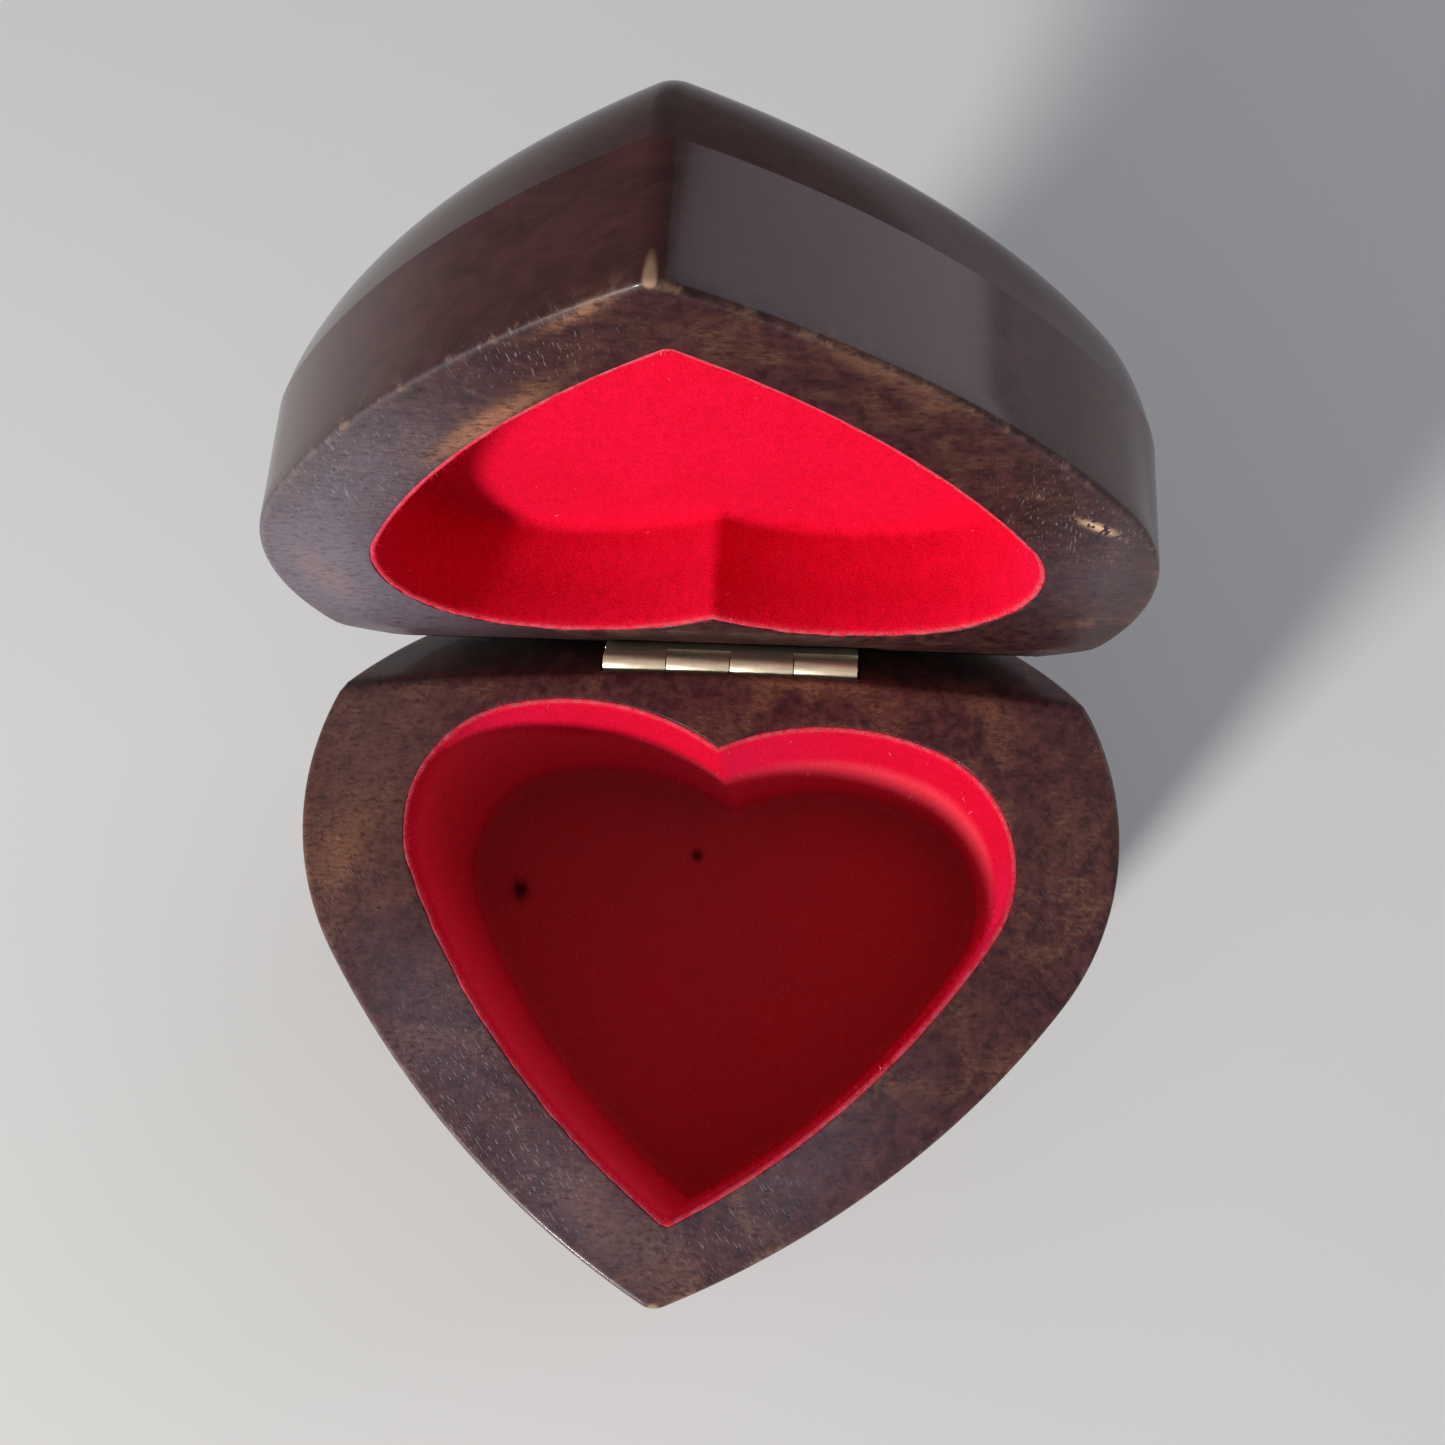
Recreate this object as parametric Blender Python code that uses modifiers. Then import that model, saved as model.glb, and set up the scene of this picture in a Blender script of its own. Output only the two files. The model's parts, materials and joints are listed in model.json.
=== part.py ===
"""Heart-shaped wooden wind-up music box with a hinged lid, built from separate named pieces.

Lengths in the constants are millimetres.  +Z is up, the heart's tip points to -Y and the hinge line runs
along X.  Base pieces are measured from the hinge line (y) and the table (z).  Lid pieces are modelled
closed, measured from the hinge axis, and an empty on that axis swings them open.
"""

import math

import bmesh
import bpy
from mathutils import Matrix, Vector

MM = 0.001

# Heart outlines: shoulder centre x and y, shoulder radius, flank radius, tip y, top radius, cusp y
OUTER_HEART = (12.3, -15.2, 26.7, 89.0, -59.6, 32.0, 8.6)
CAVITY_HEART = (17.2, -17.8, 12.06, 79.0, -52.6, 25.9, -8.3)
OUTER_TIP_RADIUS = 2.2
CAVITY_TIP_RADIUS = 0.9
TIP_STEPS, FLANK_STEPS, SHOULDER_STEPS, TOP_STEPS = 2, 5, 10, 4

# Sawn and hinged by hand: how far each outline's tip leans towards +X, and its turn in degrees
TURN_POINT_Y = -25.0
LEAN_REACH = 34.0
BASE_OUTER = (-0.9, -1.7)
BASE_CAVITY = (1.4, -4.3)
LID_OUTER = (0.2, -1.3)
LID_CAVITY = (1.3, -1.8)

# Base
BASE_HEIGHT = 59.3
RECESS_INSET = 3.2
PANEL_BOTTOM = 7.6
PANEL_THICKNESS = 2.5
PANEL_SEAT = 10.3
CHAMBER_GROWTH = 1.0
FLOOR_THICKNESS = 2.5
CAVITY_STEP = 28.5
FIT_GAP = 0.3
LINING_THICKNESS = 0.7

# Lid, measured from the hinge axis with the lid closed
HINGE_DROP = 1.0
LID_RIM = 1.3
LID_WALL_TOP = 12.4
LID_TOP = 20.4
LID_CAVITY_DEPTH = 11.9
LID_OPEN_ANGLE = 95.0
SHOULDER_SECTIONS = ((0.0, LID_WALL_TOP), (0.66, 15.3), (1.55, 17.8), (2.8, 19.6), (4.6, LID_TOP))

# Hinge
HINGE_Y = 17.13
HINGE_X = 1.9
CENTRE_X = -0.256
BEVEL_ANGLE = 47.5
BEVEL_CLEARANCE = 0.15
LID_CHAMFER_START = -4.2
LID_CHAMFER_ANGLE = 15.0
BARREL_RADIUS = 1.0
BARREL_BORE = 0.55
PIN_RADIUS = 0.4
BARREL_CLEARANCE = 0.3
HINGE_LENGTH = 25.0
KNUCKLE_COUNT = 4
LEAF_NEAR, LEAF_FAR = 1.35, 7.0
LEAF_INNER, LEAF_OUTER = 0.35, 1.0
LEAF_SCREW_X = 7.8
LEAF_SCREW_REACH = 5.2

# Movement, measured from the middle of the bedplate's top face
MOVEMENT_Y = -20.0
BED_THICKNESS = 2.0
BED_TOP = PANEL_SEAT + BED_THICKNESS
MODULE = 0.5
ARBOR_U, ARBOR_V = -11.4, 3.5
CYLINDER_V, CYLINDER_W = 3.5, 7.95
TRANSFER_V, TRANSFER_W = -2.8, 4.9
GOVERNOR_U, GOVERNOR_V = 18.5, -7.65
CROWN_TEETH, PINION_TEETH = 32, 9
CYLINDER_WHEEL_TEETH, TRANSFER_TEETH, WORM_WHEEL_TEETH = 20, 8, 14
COMB_TEETH = 18
COMB_PITCH = 0.94
MOVEMENT_SCREWS = ((-17.5, -9.3, 11.9), (7.25, -10.0, 15.4), (4.0, 9.5, 11.9))
PANEL_SCREWS = ((33.1, -16.0), (-33.1, -16.0), (0.0, -2.6))

PART_COLLECTION = "wind_up_music_box"
materials = {}


def clear_scene():
    for item in list(bpy.data.objects):
        bpy.data.objects.remove(item, do_unlink=True)


def make_collection(name):
    made = bpy.data.collections.new(name)
    bpy.context.scene.collection.children.link(made)
    return made


def make_material(name, colour, metallic, roughness):
    made = bpy.data.materials.new(name)
    made.use_nodes = True
    shader = made.node_tree.nodes["Principled BSDF"]
    shader.inputs["Base Color"].default_value = (*colour, 1.0)
    shader.inputs["Metallic"].default_value = metallic
    shader.inputs["Roughness"].default_value = roughness
    made.diffuse_color = (*colour, 1.0)
    return made


# Placing -------------------------------------------------------------------------------------------------

def add_empty(name, location, rotation=(0.0, 0.0, 0.0), parent=None):
    made = bpy.data.objects.new(name, None)
    made.location = [value * MM for value in location]
    made.rotation_euler = [math.radians(angle) for angle in rotation]
    made.parent = parent
    part_collection.objects.link(made)
    return made


def add_object(name, mesh, kind, parent, location=(0.0, 0.0, 0.0), rotation=(0.0, 0.0, 0.0), smooth=False):
    """Link a mesh as a piece with its own material, or as a cutter when kind is None."""
    made = bpy.data.objects.new(name, mesh)
    made.location = [value * MM for value in location]
    made.rotation_euler = [math.radians(angle) for angle in rotation]
    made.parent = parent
    if kind is None:
        cutter_collection.objects.link(made)
        made.hide_render = True
        made.display_type = "WIRE"
        return made
    part_collection.objects.link(made)
    look = materials[kind]
    own = make_material(name, look[0], look[1], look[2])
    mesh.materials.append(own)
    for face in mesh.polygons:
        face.use_smooth = smooth
    return made


def combine(target, tool, operation="DIFFERENCE"):
    modifier = target.modifiers.new(f"{operation.lower()}_{tool.name}", "BOOLEAN")
    modifier.operation = operation
    modifier.solver = "EXACT"
    modifier.object = tool


# Outlines ------------------------------------------------------------------------------------------------

def circle_meeting(centre_a, radius_a, centre_b, radius_b, smallest):
    """The crossing of two circles that makes the coordinate number `smallest` least."""
    span = centre_b - centre_a
    along = (radius_a ** 2 - radius_b ** 2 + span.length_squared) / (2 * span.length)
    across = math.sqrt(max(radius_a ** 2 - along ** 2, 0.0))
    direction = span.normalized()
    middle = centre_a + direction * along
    side = Vector((-direction.y, direction.x)) * across
    return min((middle + side, middle - side), key=lambda point: point[smallest])


def arc(centre, radius, start, end, steps):
    """Points after `start` on the counter-clockwise arc to `end`."""
    first = math.atan2(start.y - centre.y, start.x - centre.x)
    last = math.atan2(end.y - centre.y, end.x - centre.x)
    if last < first:
        last += math.tau
    turns = [first + (last - first) * step / steps for step in range(1, steps + 1)]
    return [Vector((centre.x + radius * math.cos(turn), centre.y + radius * math.sin(turn))) for turn in turns]


def heart_points(shape, inset, tip_radius):
    """A symmetrical heart outline, counter-clockwise from its tip, shrunk by `inset`."""
    centre_x, centre_y, shoulder_radius, flank_radius, tip_y, top_radius, cusp_y = shape
    shoulder = Vector((centre_x, centre_y))
    flank = circle_meeting(shoulder, flank_radius - shoulder_radius, Vector((0.0, tip_y)), flank_radius, 0)
    top = circle_meeting(shoulder, top_radius - shoulder_radius, Vector((0.0, cusp_y)), top_radius, 1)
    flank_radius -= inset
    shoulder_radius -= inset
    top_radius -= inset
    tip_centre = Vector((0.0, flank.y - math.sqrt((flank_radius - tip_radius) ** 2 - flank.x ** 2)))
    tip = tip_centre - Vector((0.0, tip_radius))
    tip_end = flank + (tip_centre - flank).normalized() * flank_radius
    flank_end = shoulder + (shoulder - flank).normalized() * shoulder_radius
    shoulder_end = shoulder + (shoulder - top).normalized() * shoulder_radius
    cusp = Vector((0.0, top.y + math.sqrt(top_radius ** 2 - top.x ** 2)))
    right = [tip]
    right += arc(tip_centre, tip_radius, tip, tip_end, TIP_STEPS)
    right += arc(flank, flank_radius, tip_end, flank_end, FLANK_STEPS)
    right += arc(shoulder, shoulder_radius, flank_end, shoulder_end, SHOULDER_STEPS)
    right += arc(top, top_radius, shoulder_end, cusp, TOP_STEPS)
    left = [Vector((-point.x, point.y)) for point in reversed(right[1:-1])]
    return right + left


def hand_sawn(points, lean, turn):
    """Leans an outline's tip sideways, then turns the outline about the turning point."""
    angle = math.radians(turn)
    placed = []
    for point in points:
        below = max(0.0, TURN_POINT_Y - point[1]) / LEAN_REACH
        x, y = point[0] + lean * below ** 2, point[1] - TURN_POINT_Y
        placed.append(Vector((x * math.cos(angle) - y * math.sin(angle),
                              x * math.sin(angle) + y * math.cos(angle) + TURN_POINT_Y)))
    return placed


def outer_heart(inset, sawn):
    return hand_sawn(heart_points(OUTER_HEART, inset, OUTER_TIP_RADIUS), *sawn)


def cavity_heart(inset, sawn):
    return hand_sawn(heart_points(CAVITY_HEART, inset, CAVITY_TIP_RADIUS), *sawn)


def circle_points(radius, count, centre=(0.0, 0.0)):
    turns = [math.tau * step / count for step in range(count)]
    return [(centre[0] + radius * math.cos(turn), centre[1] + radius * math.sin(turn)) for turn in turns]


def gear_points(teeth, pitch_radius, addendum, dedendum, tooth_share, turned=0.0):
    """A gear outline with straight-sided teeth; `tooth_share` is the tooth's share of the pitch."""
    points = []
    pitch_angle = math.tau / teeth
    half = pitch_angle * tooth_share / 2
    spread = 1.35
    for tooth in range(teeth):
        middle = tooth * pitch_angle + turned
        corners = ((-half * spread, -dedendum), (-half / spread, addendum),
                   (half / spread, addendum), (half * spread, -dedendum))
        for offset, height in corners:
            reach = pitch_radius + height
            points.append((reach * math.cos(middle + offset), reach * math.sin(middle + offset)))
    return points


# Solids --------------------------------------------------------------------------------------------------

def mesh_from(name, vertices, faces):
    mesh = bpy.data.meshes.new(name)
    mesh.from_pydata([tuple(value * MM for value in vertex) for vertex in vertices], [], faces)
    return mesh


def face_outward(mesh):
    work = bmesh.new()
    work.from_mesh(mesh)
    bmesh.ops.recalc_face_normals(work, faces=work.faces)
    work.to_mesh(mesh)
    work.free()


def loft(name, sections, kind, parent, closed_ring=False, **placing):
    """Join stacked outlines of equal point count; a closed ring joins the last back to the first."""
    count = len(sections[0][0])
    vertices = [(point[0], point[1], height) for outline, height in sections for point in outline]
    faces = []
    links = len(sections) if closed_ring else len(sections) - 1
    for level in range(links):
        low = level * count
        high = ((level + 1) % len(sections)) * count
        for step in range(count):
            following = (step + 1) % count
            faces.append((low + step, low + following, high + following, high + step))
    if not closed_ring:
        last = (len(sections) - 1) * count
        faces.append(tuple(reversed(range(count))))
        faces.append(tuple(range(last, last + count)))
    mesh = mesh_from(name, vertices, faces)
    face_outward(mesh)
    return add_object(name, mesh, kind, parent, **placing)


def prism(name, loops, low, high, kind, parent, **placing):
    """Extrude flat outlines from `low` to `high`; the loops after the first are holes."""
    curve = bpy.data.curves.new(name, "CURVE")
    curve.dimensions = "2D"
    curve.fill_mode = "BOTH"
    curve.extrude = (high - low) / 2 * MM
    for loop in loops:
        spline = curve.splines.new("POLY")
        spline.points.add(len(loop) - 1)
        for point, (across, along) in zip(spline.points, loop):
            point.co = (across * MM, along * MM, 0.0, 1.0)
        spline.use_cyclic_u = True
    holder = bpy.data.objects.new(name, curve)
    mesh = bpy.data.meshes.new_from_object(holder)
    bpy.data.objects.remove(holder)
    bpy.data.curves.remove(curve)
    mesh.transform(Matrix.Translation((0.0, 0.0, (high + low) / 2 * MM)))
    work = bmesh.new()
    work.from_mesh(mesh)
    bmesh.ops.remove_doubles(work, verts=work.verts, dist=1e-7)
    bmesh.ops.recalc_face_normals(work, faces=work.faces)
    work.to_mesh(mesh)
    work.free()
    mesh.name = name
    return add_object(name, mesh, kind, parent, **placing)


def lathe(name, profile, steps, kind, parent, smooth=True, **placing):
    """Spin a profile of (radius, height) points about the piece's own Z axis."""
    edges = [(index, index + 1) for index in range(len(profile) - 1)]
    if profile[0][0] > 0:
        edges.append((len(profile) - 1, 0))
    mesh = bpy.data.meshes.new(name)
    mesh.from_pydata([(radius * MM, 0.0, height * MM) for radius, height in profile], edges, [])
    made = add_object(name, mesh, kind, parent, **placing)
    screw = made.modifiers.new("spin", "SCREW")
    screw.axis = "Z"
    screw.steps = steps
    screw.render_steps = steps
    screw.use_merge_vertices = True
    screw.merge_threshold = 0.00001
    screw.use_smooth_shade = smooth
    return made


def box(name, low, high, kind, parent, **placing):
    mesh = bpy.data.meshes.new(name)
    work = bmesh.new()
    bmesh.ops.create_cube(work, size=1.0)
    for vertex in work.verts:
        for axis in range(3):
            middle = (low[axis] + high[axis]) / 2
            vertex.co[axis] = (middle + vertex.co[axis] * (high[axis] - low[axis])) * MM
    work.to_mesh(mesh)
    work.free()
    return add_object(name, mesh, kind, parent, **placing)


def tube_profile(bore, radius, low, high):
    return [(bore, high), (radius, high), (radius, low), (bore, low)]


def rod_profile(radius, low, high, chamfer=0.15):
    return [(0.0, high), (radius - chamfer, high), (radius, high - chamfer),
            (radius, low + chamfer), (radius - chamfer, low), (0.0, low)]


def screw_profile(head_radius, head_height, shank_radius, length):
    """A pan-head screw standing on its tip, head on top, with z = 0 under the head."""
    return [(0.0, head_height), (head_radius * 0.7, head_height), (head_radius, head_height * 0.55),
            (head_radius, 0.0), (shank_radius, 0.0), (shank_radius, -length + 0.5),
            (shank_radius * 0.4, -length), (0.0, -length)]


def drill(name, target, radius, low, high, parent, steps=12, **placing):
    hole = lathe(name, rod_profile(radius, low, high, 0.01), steps, None, parent, smooth=False, **placing)
    combine(target, hole)


# Box -----------------------------------------------------------------------------------------------------

def panel_screw_spots():
    return hand_sawn(PANEL_SCREWS, *BASE_OUTER)


def build_base_shell():
    sections = [
        (outer_heart(0.6, BASE_OUTER), 0.0),
        (outer_heart(0.0, BASE_OUTER), 0.6),
        (outer_heart(0.0, BASE_OUTER), BASE_HEIGHT - 0.5),
        (outer_heart(0.4, BASE_OUTER), BASE_HEIGHT),
        (cavity_heart(-0.2, BASE_CAVITY), BASE_HEIGHT),
        (cavity_heart(0.0, BASE_CAVITY), BASE_HEIGHT - 0.3),
        (cavity_heart(0.0, BASE_CAVITY), CAVITY_STEP),
        (cavity_heart(-CHAMBER_GROWTH, BASE_CAVITY), CAVITY_STEP),
        (cavity_heart(-CHAMBER_GROWTH, BASE_CAVITY), PANEL_SEAT),
        (outer_heart(RECESS_INSET, BASE_OUTER), PANEL_SEAT),
        (outer_heart(RECESS_INSET, BASE_OUTER), 0.0),
    ]
    shell = loft("base_shell", sections, "dark_wood", box_frame, closed_ring=True)
    axis_z = BASE_HEIGHT - HINGE_DROP
    slope = math.radians(BEVEL_ANGLE)

    def on_bevel(height):
        return (-BEVEL_CLEARANCE - height * math.cos(slope)) / math.sin(slope), height

    bevel = [on_bevel(4.0), on_bevel(-30.0), (40.0, -30.0), (40.0, 4.0)]
    cutter = prism("base_bevel_cutter", [bevel], -50.0, 50.0, None, box_frame,
                   location=(0.0, 0.0, axis_z), rotation=(90.0, 0.0, 90.0))
    combine(shell, cutter)
    notch = lathe("barrel_notch_cutter", rod_profile(BARREL_RADIUS + BARREL_CLEARANCE, -12.8, 12.8, 0.01), 16,
                  None, box_frame, smooth=False, location=(HINGE_X, 0.0, axis_z), rotation=(0.0, 90.0, 0.0))
    combine(shell, notch)
    mortise = box("base_mortise_cutter", (-12.8, 0.6, -1.1), (12.8, 7.3, 1.5), None, base_leaf_frame)
    combine(shell, mortise)
    for number, x in enumerate((-LEAF_SCREW_X, LEAF_SCREW_X), 1):
        drill(f"base_pilot_{number}_cutter", shell, 0.75, -6.2, -0.5, base_leaf_frame,
              location=(x, LEAF_SCREW_REACH, 0.0))
    for number, (x, y) in enumerate(panel_screw_spots(), 1):
        drill(f"panel_pilot_{number}_cutter", shell, 0.95, 5.0, 17.0, box_frame, location=(x, y, 0.0))


def build_base_fittings():
    floor_top = CAVITY_STEP - 0.2
    floor_outline = cavity_heart(-CHAMBER_GROWTH + FIT_GAP, BASE_CAVITY)
    prism("compartment_floor", [floor_outline], floor_top - FLOOR_THICKNESS, floor_top, "plain_wood", box_frame)
    build_lining("base_lining", BASE_CAVITY, floor_top + FIT_GAP, BASE_HEIGHT - 0.35, box_frame)
    panel = prism("bottom_panel", [outer_heart(RECESS_INSET + FIT_GAP, BASE_OUTER)], PANEL_BOTTOM,
                  PANEL_BOTTOM + PANEL_THICKNESS, "plain_wood", box_frame)
    drill("arbor_hole_cutter", panel, 1.8, 5.0, 12.0, box_frame, 16,
          location=(ARBOR_U, MOVEMENT_Y + ARBOR_V, 0.0))
    for number, (u, v, _) in enumerate(MOVEMENT_SCREWS, 1):
        drill(f"movement_hole_{number}_cutter", panel, 1.15, 5.0, 12.0, box_frame,
              location=(u, MOVEMENT_Y + v, 0.0))
    for number, (x, y) in enumerate(panel_screw_spots(), 1):
        drill(f"panel_hole_{number}_cutter", panel, 1.1, 5.0, 12.0, box_frame, location=(x, y, 0.0))
        lathe(f"bottom_panel_screw_{number}", screw_profile(1.9, 1.2, 0.8, 9.0), 14, "steel", box_frame,
              location=(x, y, PANEL_BOTTOM - 0.2), rotation=(180.0, 0.0, 0.0))


def build_lining(name, sawn, floor, top, parent):
    """A flocked cup that follows the hollow's wall and floor."""
    wall = LINING_THICKNESS
    inner_floor = floor + wall if top > floor else floor - wall
    sections = [
        (cavity_heart(FIT_GAP, sawn), floor),
        (cavity_heart(FIT_GAP, sawn), top),
        (cavity_heart(FIT_GAP + wall, sawn), top),
        (cavity_heart(FIT_GAP + wall, sawn), inner_floor),
    ]
    return loft(name, sections, "red_flock", parent)


def build_lid():
    ceiling = LID_RIM + LID_CAVITY_DEPTH
    sections = [
        (cavity_heart(0.0, LID_CAVITY), ceiling),
        (cavity_heart(0.0, LID_CAVITY), LID_RIM + 0.3),
        (cavity_heart(-0.2, LID_CAVITY), LID_RIM),
        (outer_heart(0.4, LID_OUTER), LID_RIM),
        (outer_heart(0.0, LID_OUTER), LID_RIM + 0.5),
    ]
    sections += [(outer_heart(inset, LID_OUTER), height) for inset, height in SHOULDER_SECTIONS]
    shell = loft("lid_shell", sections, "dark_wood", lid_frame)
    slope = math.radians(BEVEL_ANGLE)
    rise = math.radians(LID_CHAMFER_ANGLE)
    along = Vector((math.cos(rise), math.sin(rise)))
    start = Vector((LID_CHAMFER_START, LID_RIM))
    normal = Vector((-math.sin(slope), math.cos(slope)))
    junction = start + along * ((BEVEL_CLEARANCE - normal.dot(start)) / normal.dot(along))
    far = junction + Vector((math.cos(slope), math.sin(slope))) * 30.0
    outline = [start - along * 6.0, (start.x, -8.0), (far.x, -8.0), far, junction]
    cutter = prism("lid_bevel_cutter", [[(y, z) for y, z in outline]], -50.0, 50.0, None, lid_frame,
                   rotation=(90.0, 0.0, 90.0))
    combine(shell, cutter)
    mortise = box("lid_mortise_cutter", (-12.8, 2.0, -1.5), (12.8, 7.3, 1.1), None, lid_leaf_frame)
    combine(shell, mortise)
    for number, x in enumerate((-LEAF_SCREW_X, LEAF_SCREW_X), 1):
        drill(f"lid_pilot_{number}_cutter", shell, 0.75, 0.5, 6.2, lid_leaf_frame,
              location=(x, LEAF_SCREW_REACH, 0.0))
    build_lining("lid_lining", LID_CAVITY, ceiling - 0.2, LID_RIM + 0.35, lid_frame)


# Hinge ---------------------------------------------------------------------------------------------------

def build_leaf(name, side, knuckles, frame):
    """One leaf in its own frame: X along the hinge, Y away from the barrel, Z into the wood on `side`."""
    low, high = sorted((LEAF_INNER * side, LEAF_OUTER * side))
    half = HINGE_LENGTH / 2
    leaf = box(name, (-half, LEAF_NEAR, low), (half, LEAF_FAR, high), "brass", frame)
    pitch = HINGE_LENGTH / KNUCKLE_COUNT
    turns = [math.radians(90.0 + 20.0 * step) for step in range(1, 16)]
    outline = [(BARREL_RADIUS * math.cos(turn), side * BARREL_RADIUS * math.sin(turn)) for turn in turns]
    outline += [(LEAF_NEAR + 0.4, side * LEAF_INNER), (LEAF_NEAR + 0.4, side * LEAF_OUTER),
                (0.0, side * LEAF_OUTER)]
    for number in knuckles:
        start = -half + number * pitch + 0.06
        knuckle = prism(f"{name}_knuckle_{number}_tool", [outline], start, start + pitch - 0.12, None, frame,
                        rotation=(90.0, 0.0, 90.0))
        combine(leaf, knuckle, "UNION")
    bore = lathe(f"{name}_bore_cutter", rod_profile(BARREL_BORE, -20.0, 20.0, 0.01), 14, None, frame,
                 smooth=False, rotation=(0.0, 90.0, 0.0))
    combine(leaf, bore)
    for number, x in enumerate((-LEAF_SCREW_X, LEAF_SCREW_X), 1):
        sink = [(0.0, 0.2), (1.42, 0.2), (0.72, 0.95), (0.72, 2.0), (0.0, 2.0)]
        profile = [(radius, side * height) for radius, height in sink]
        if side > 0:
            profile.reverse()
        hole = lathe(f"{name}_sink_{number}_cutter", profile, 14, None, frame, smooth=False,
                     location=(x, LEAF_SCREW_REACH, 0.0))
        combine(leaf, hole)


def build_leaf_screws(stem, side, frame):
    for number, x in enumerate((-LEAF_SCREW_X, LEAF_SCREW_X), 1):
        shape = [(0.0, 0.42), (1.1, 0.42), (1.1, 0.5), (0.58, 1.02), (0.58, 5.2), (0.2, 5.8), (0.0, 5.8)]
        profile = [(radius, side * depth) for radius, depth in shape]
        if side > 0:
            profile.reverse()
        lathe(f"{stem}_{number}", profile, 12, "brass", frame, location=(x, LEAF_SCREW_REACH, 0.0))


def build_hinge():
    build_leaf("hinge_leaf_lower", -1, (1, 3), base_leaf_frame)
    build_leaf("hinge_leaf_upper", 1, (0, 2), lid_leaf_frame)
    build_leaf_screws("lower_leaf_screw", -1, base_leaf_frame)
    build_leaf_screws("upper_leaf_screw", 1, lid_leaf_frame)
    lathe("hinge_pin", rod_profile(PIN_RADIUS, -12.6, 12.6, 0.1), 12, "steel", box_frame,
          location=(HINGE_X, 0.0, BASE_HEIGHT - HINGE_DROP), rotation=(0.0, 90.0, 0.0))


# Movement ------------------------------------------------------------------------------------------------

def build_bedplate():
    outline = [(-17, -12), (17, -12), (20, -9), (20, 9), (17, 12), (-17, 12), (-20, 9), (-20, -9)]
    holes = [circle_points(1.6, 14, (ARBOR_U, ARBOR_V))]
    holes += [circle_points(1.05, 12, (u, v)) for u, v, _ in MOVEMENT_SCREWS]
    holes += [circle_points(0.9, 12, spot) for spot in ((-13.4, -8.2), (0.0, 3.5), (17.7, 9.6))]
    holes += [circle_points(0.6, 10, (GOVERNOR_U, GOVERNOR_V))]
    prism("bedplate", [outline] + holes, -BED_THICKNESS + 0.1, 0.0, "steel", movement_frame)
    for number, (u, v, tip) in enumerate(MOVEMENT_SCREWS, 1):
        seat = PANEL_BOTTOM - 0.2
        lathe(f"movement_screw_{number}", screw_profile(1.9, 1.1, 0.85, tip - seat), 14, "steel", box_frame,
              location=(u, MOVEMENT_Y + v, seat), rotation=(180.0, 0.0, 0.0))


def build_comb():
    first, last = -1.4, 16.2
    comb_w = CYLINDER_W - 0.3
    spots = ((2.5, -10.0), (12.0, -10.0))
    base_holes = [circle_points(1.0, 12, spot) for spot in (spots[0], (7.25, -10.0), spots[1])]
    block = [(first, -12.0), (last, -12.0), (last, -8.0), (first, -8.0)]
    prism("comb_base", [block] + base_holes, 0.2, comb_w - FIT_GAP, "brass", movement_frame)
    outline = [(first, -8.0), (first, -12.0), (last, -12.0), (last, -8.0)]
    for tooth in reversed(range(COMB_TEETH)):
        left = first + 0.5 + tooth * COMB_PITCH
        outline += [(left + 0.62, -8.0), (left + 0.55, -1.85), (left + 0.07, -1.85), (left, -8.0)]
    holes = [circle_points(1.0, 12, spot) for spot in spots]
    prism("comb", [outline] + holes, comb_w, comb_w + 0.6, "steel", movement_frame)
    for number, (u, v) in enumerate(spots, 1):
        lathe(f"comb_screw_{number}", screw_profile(1.6, 1.0, 0.75, 4.6), 12, "steel", movement_frame,
              location=(u, v, comb_w + 0.8))


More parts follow.
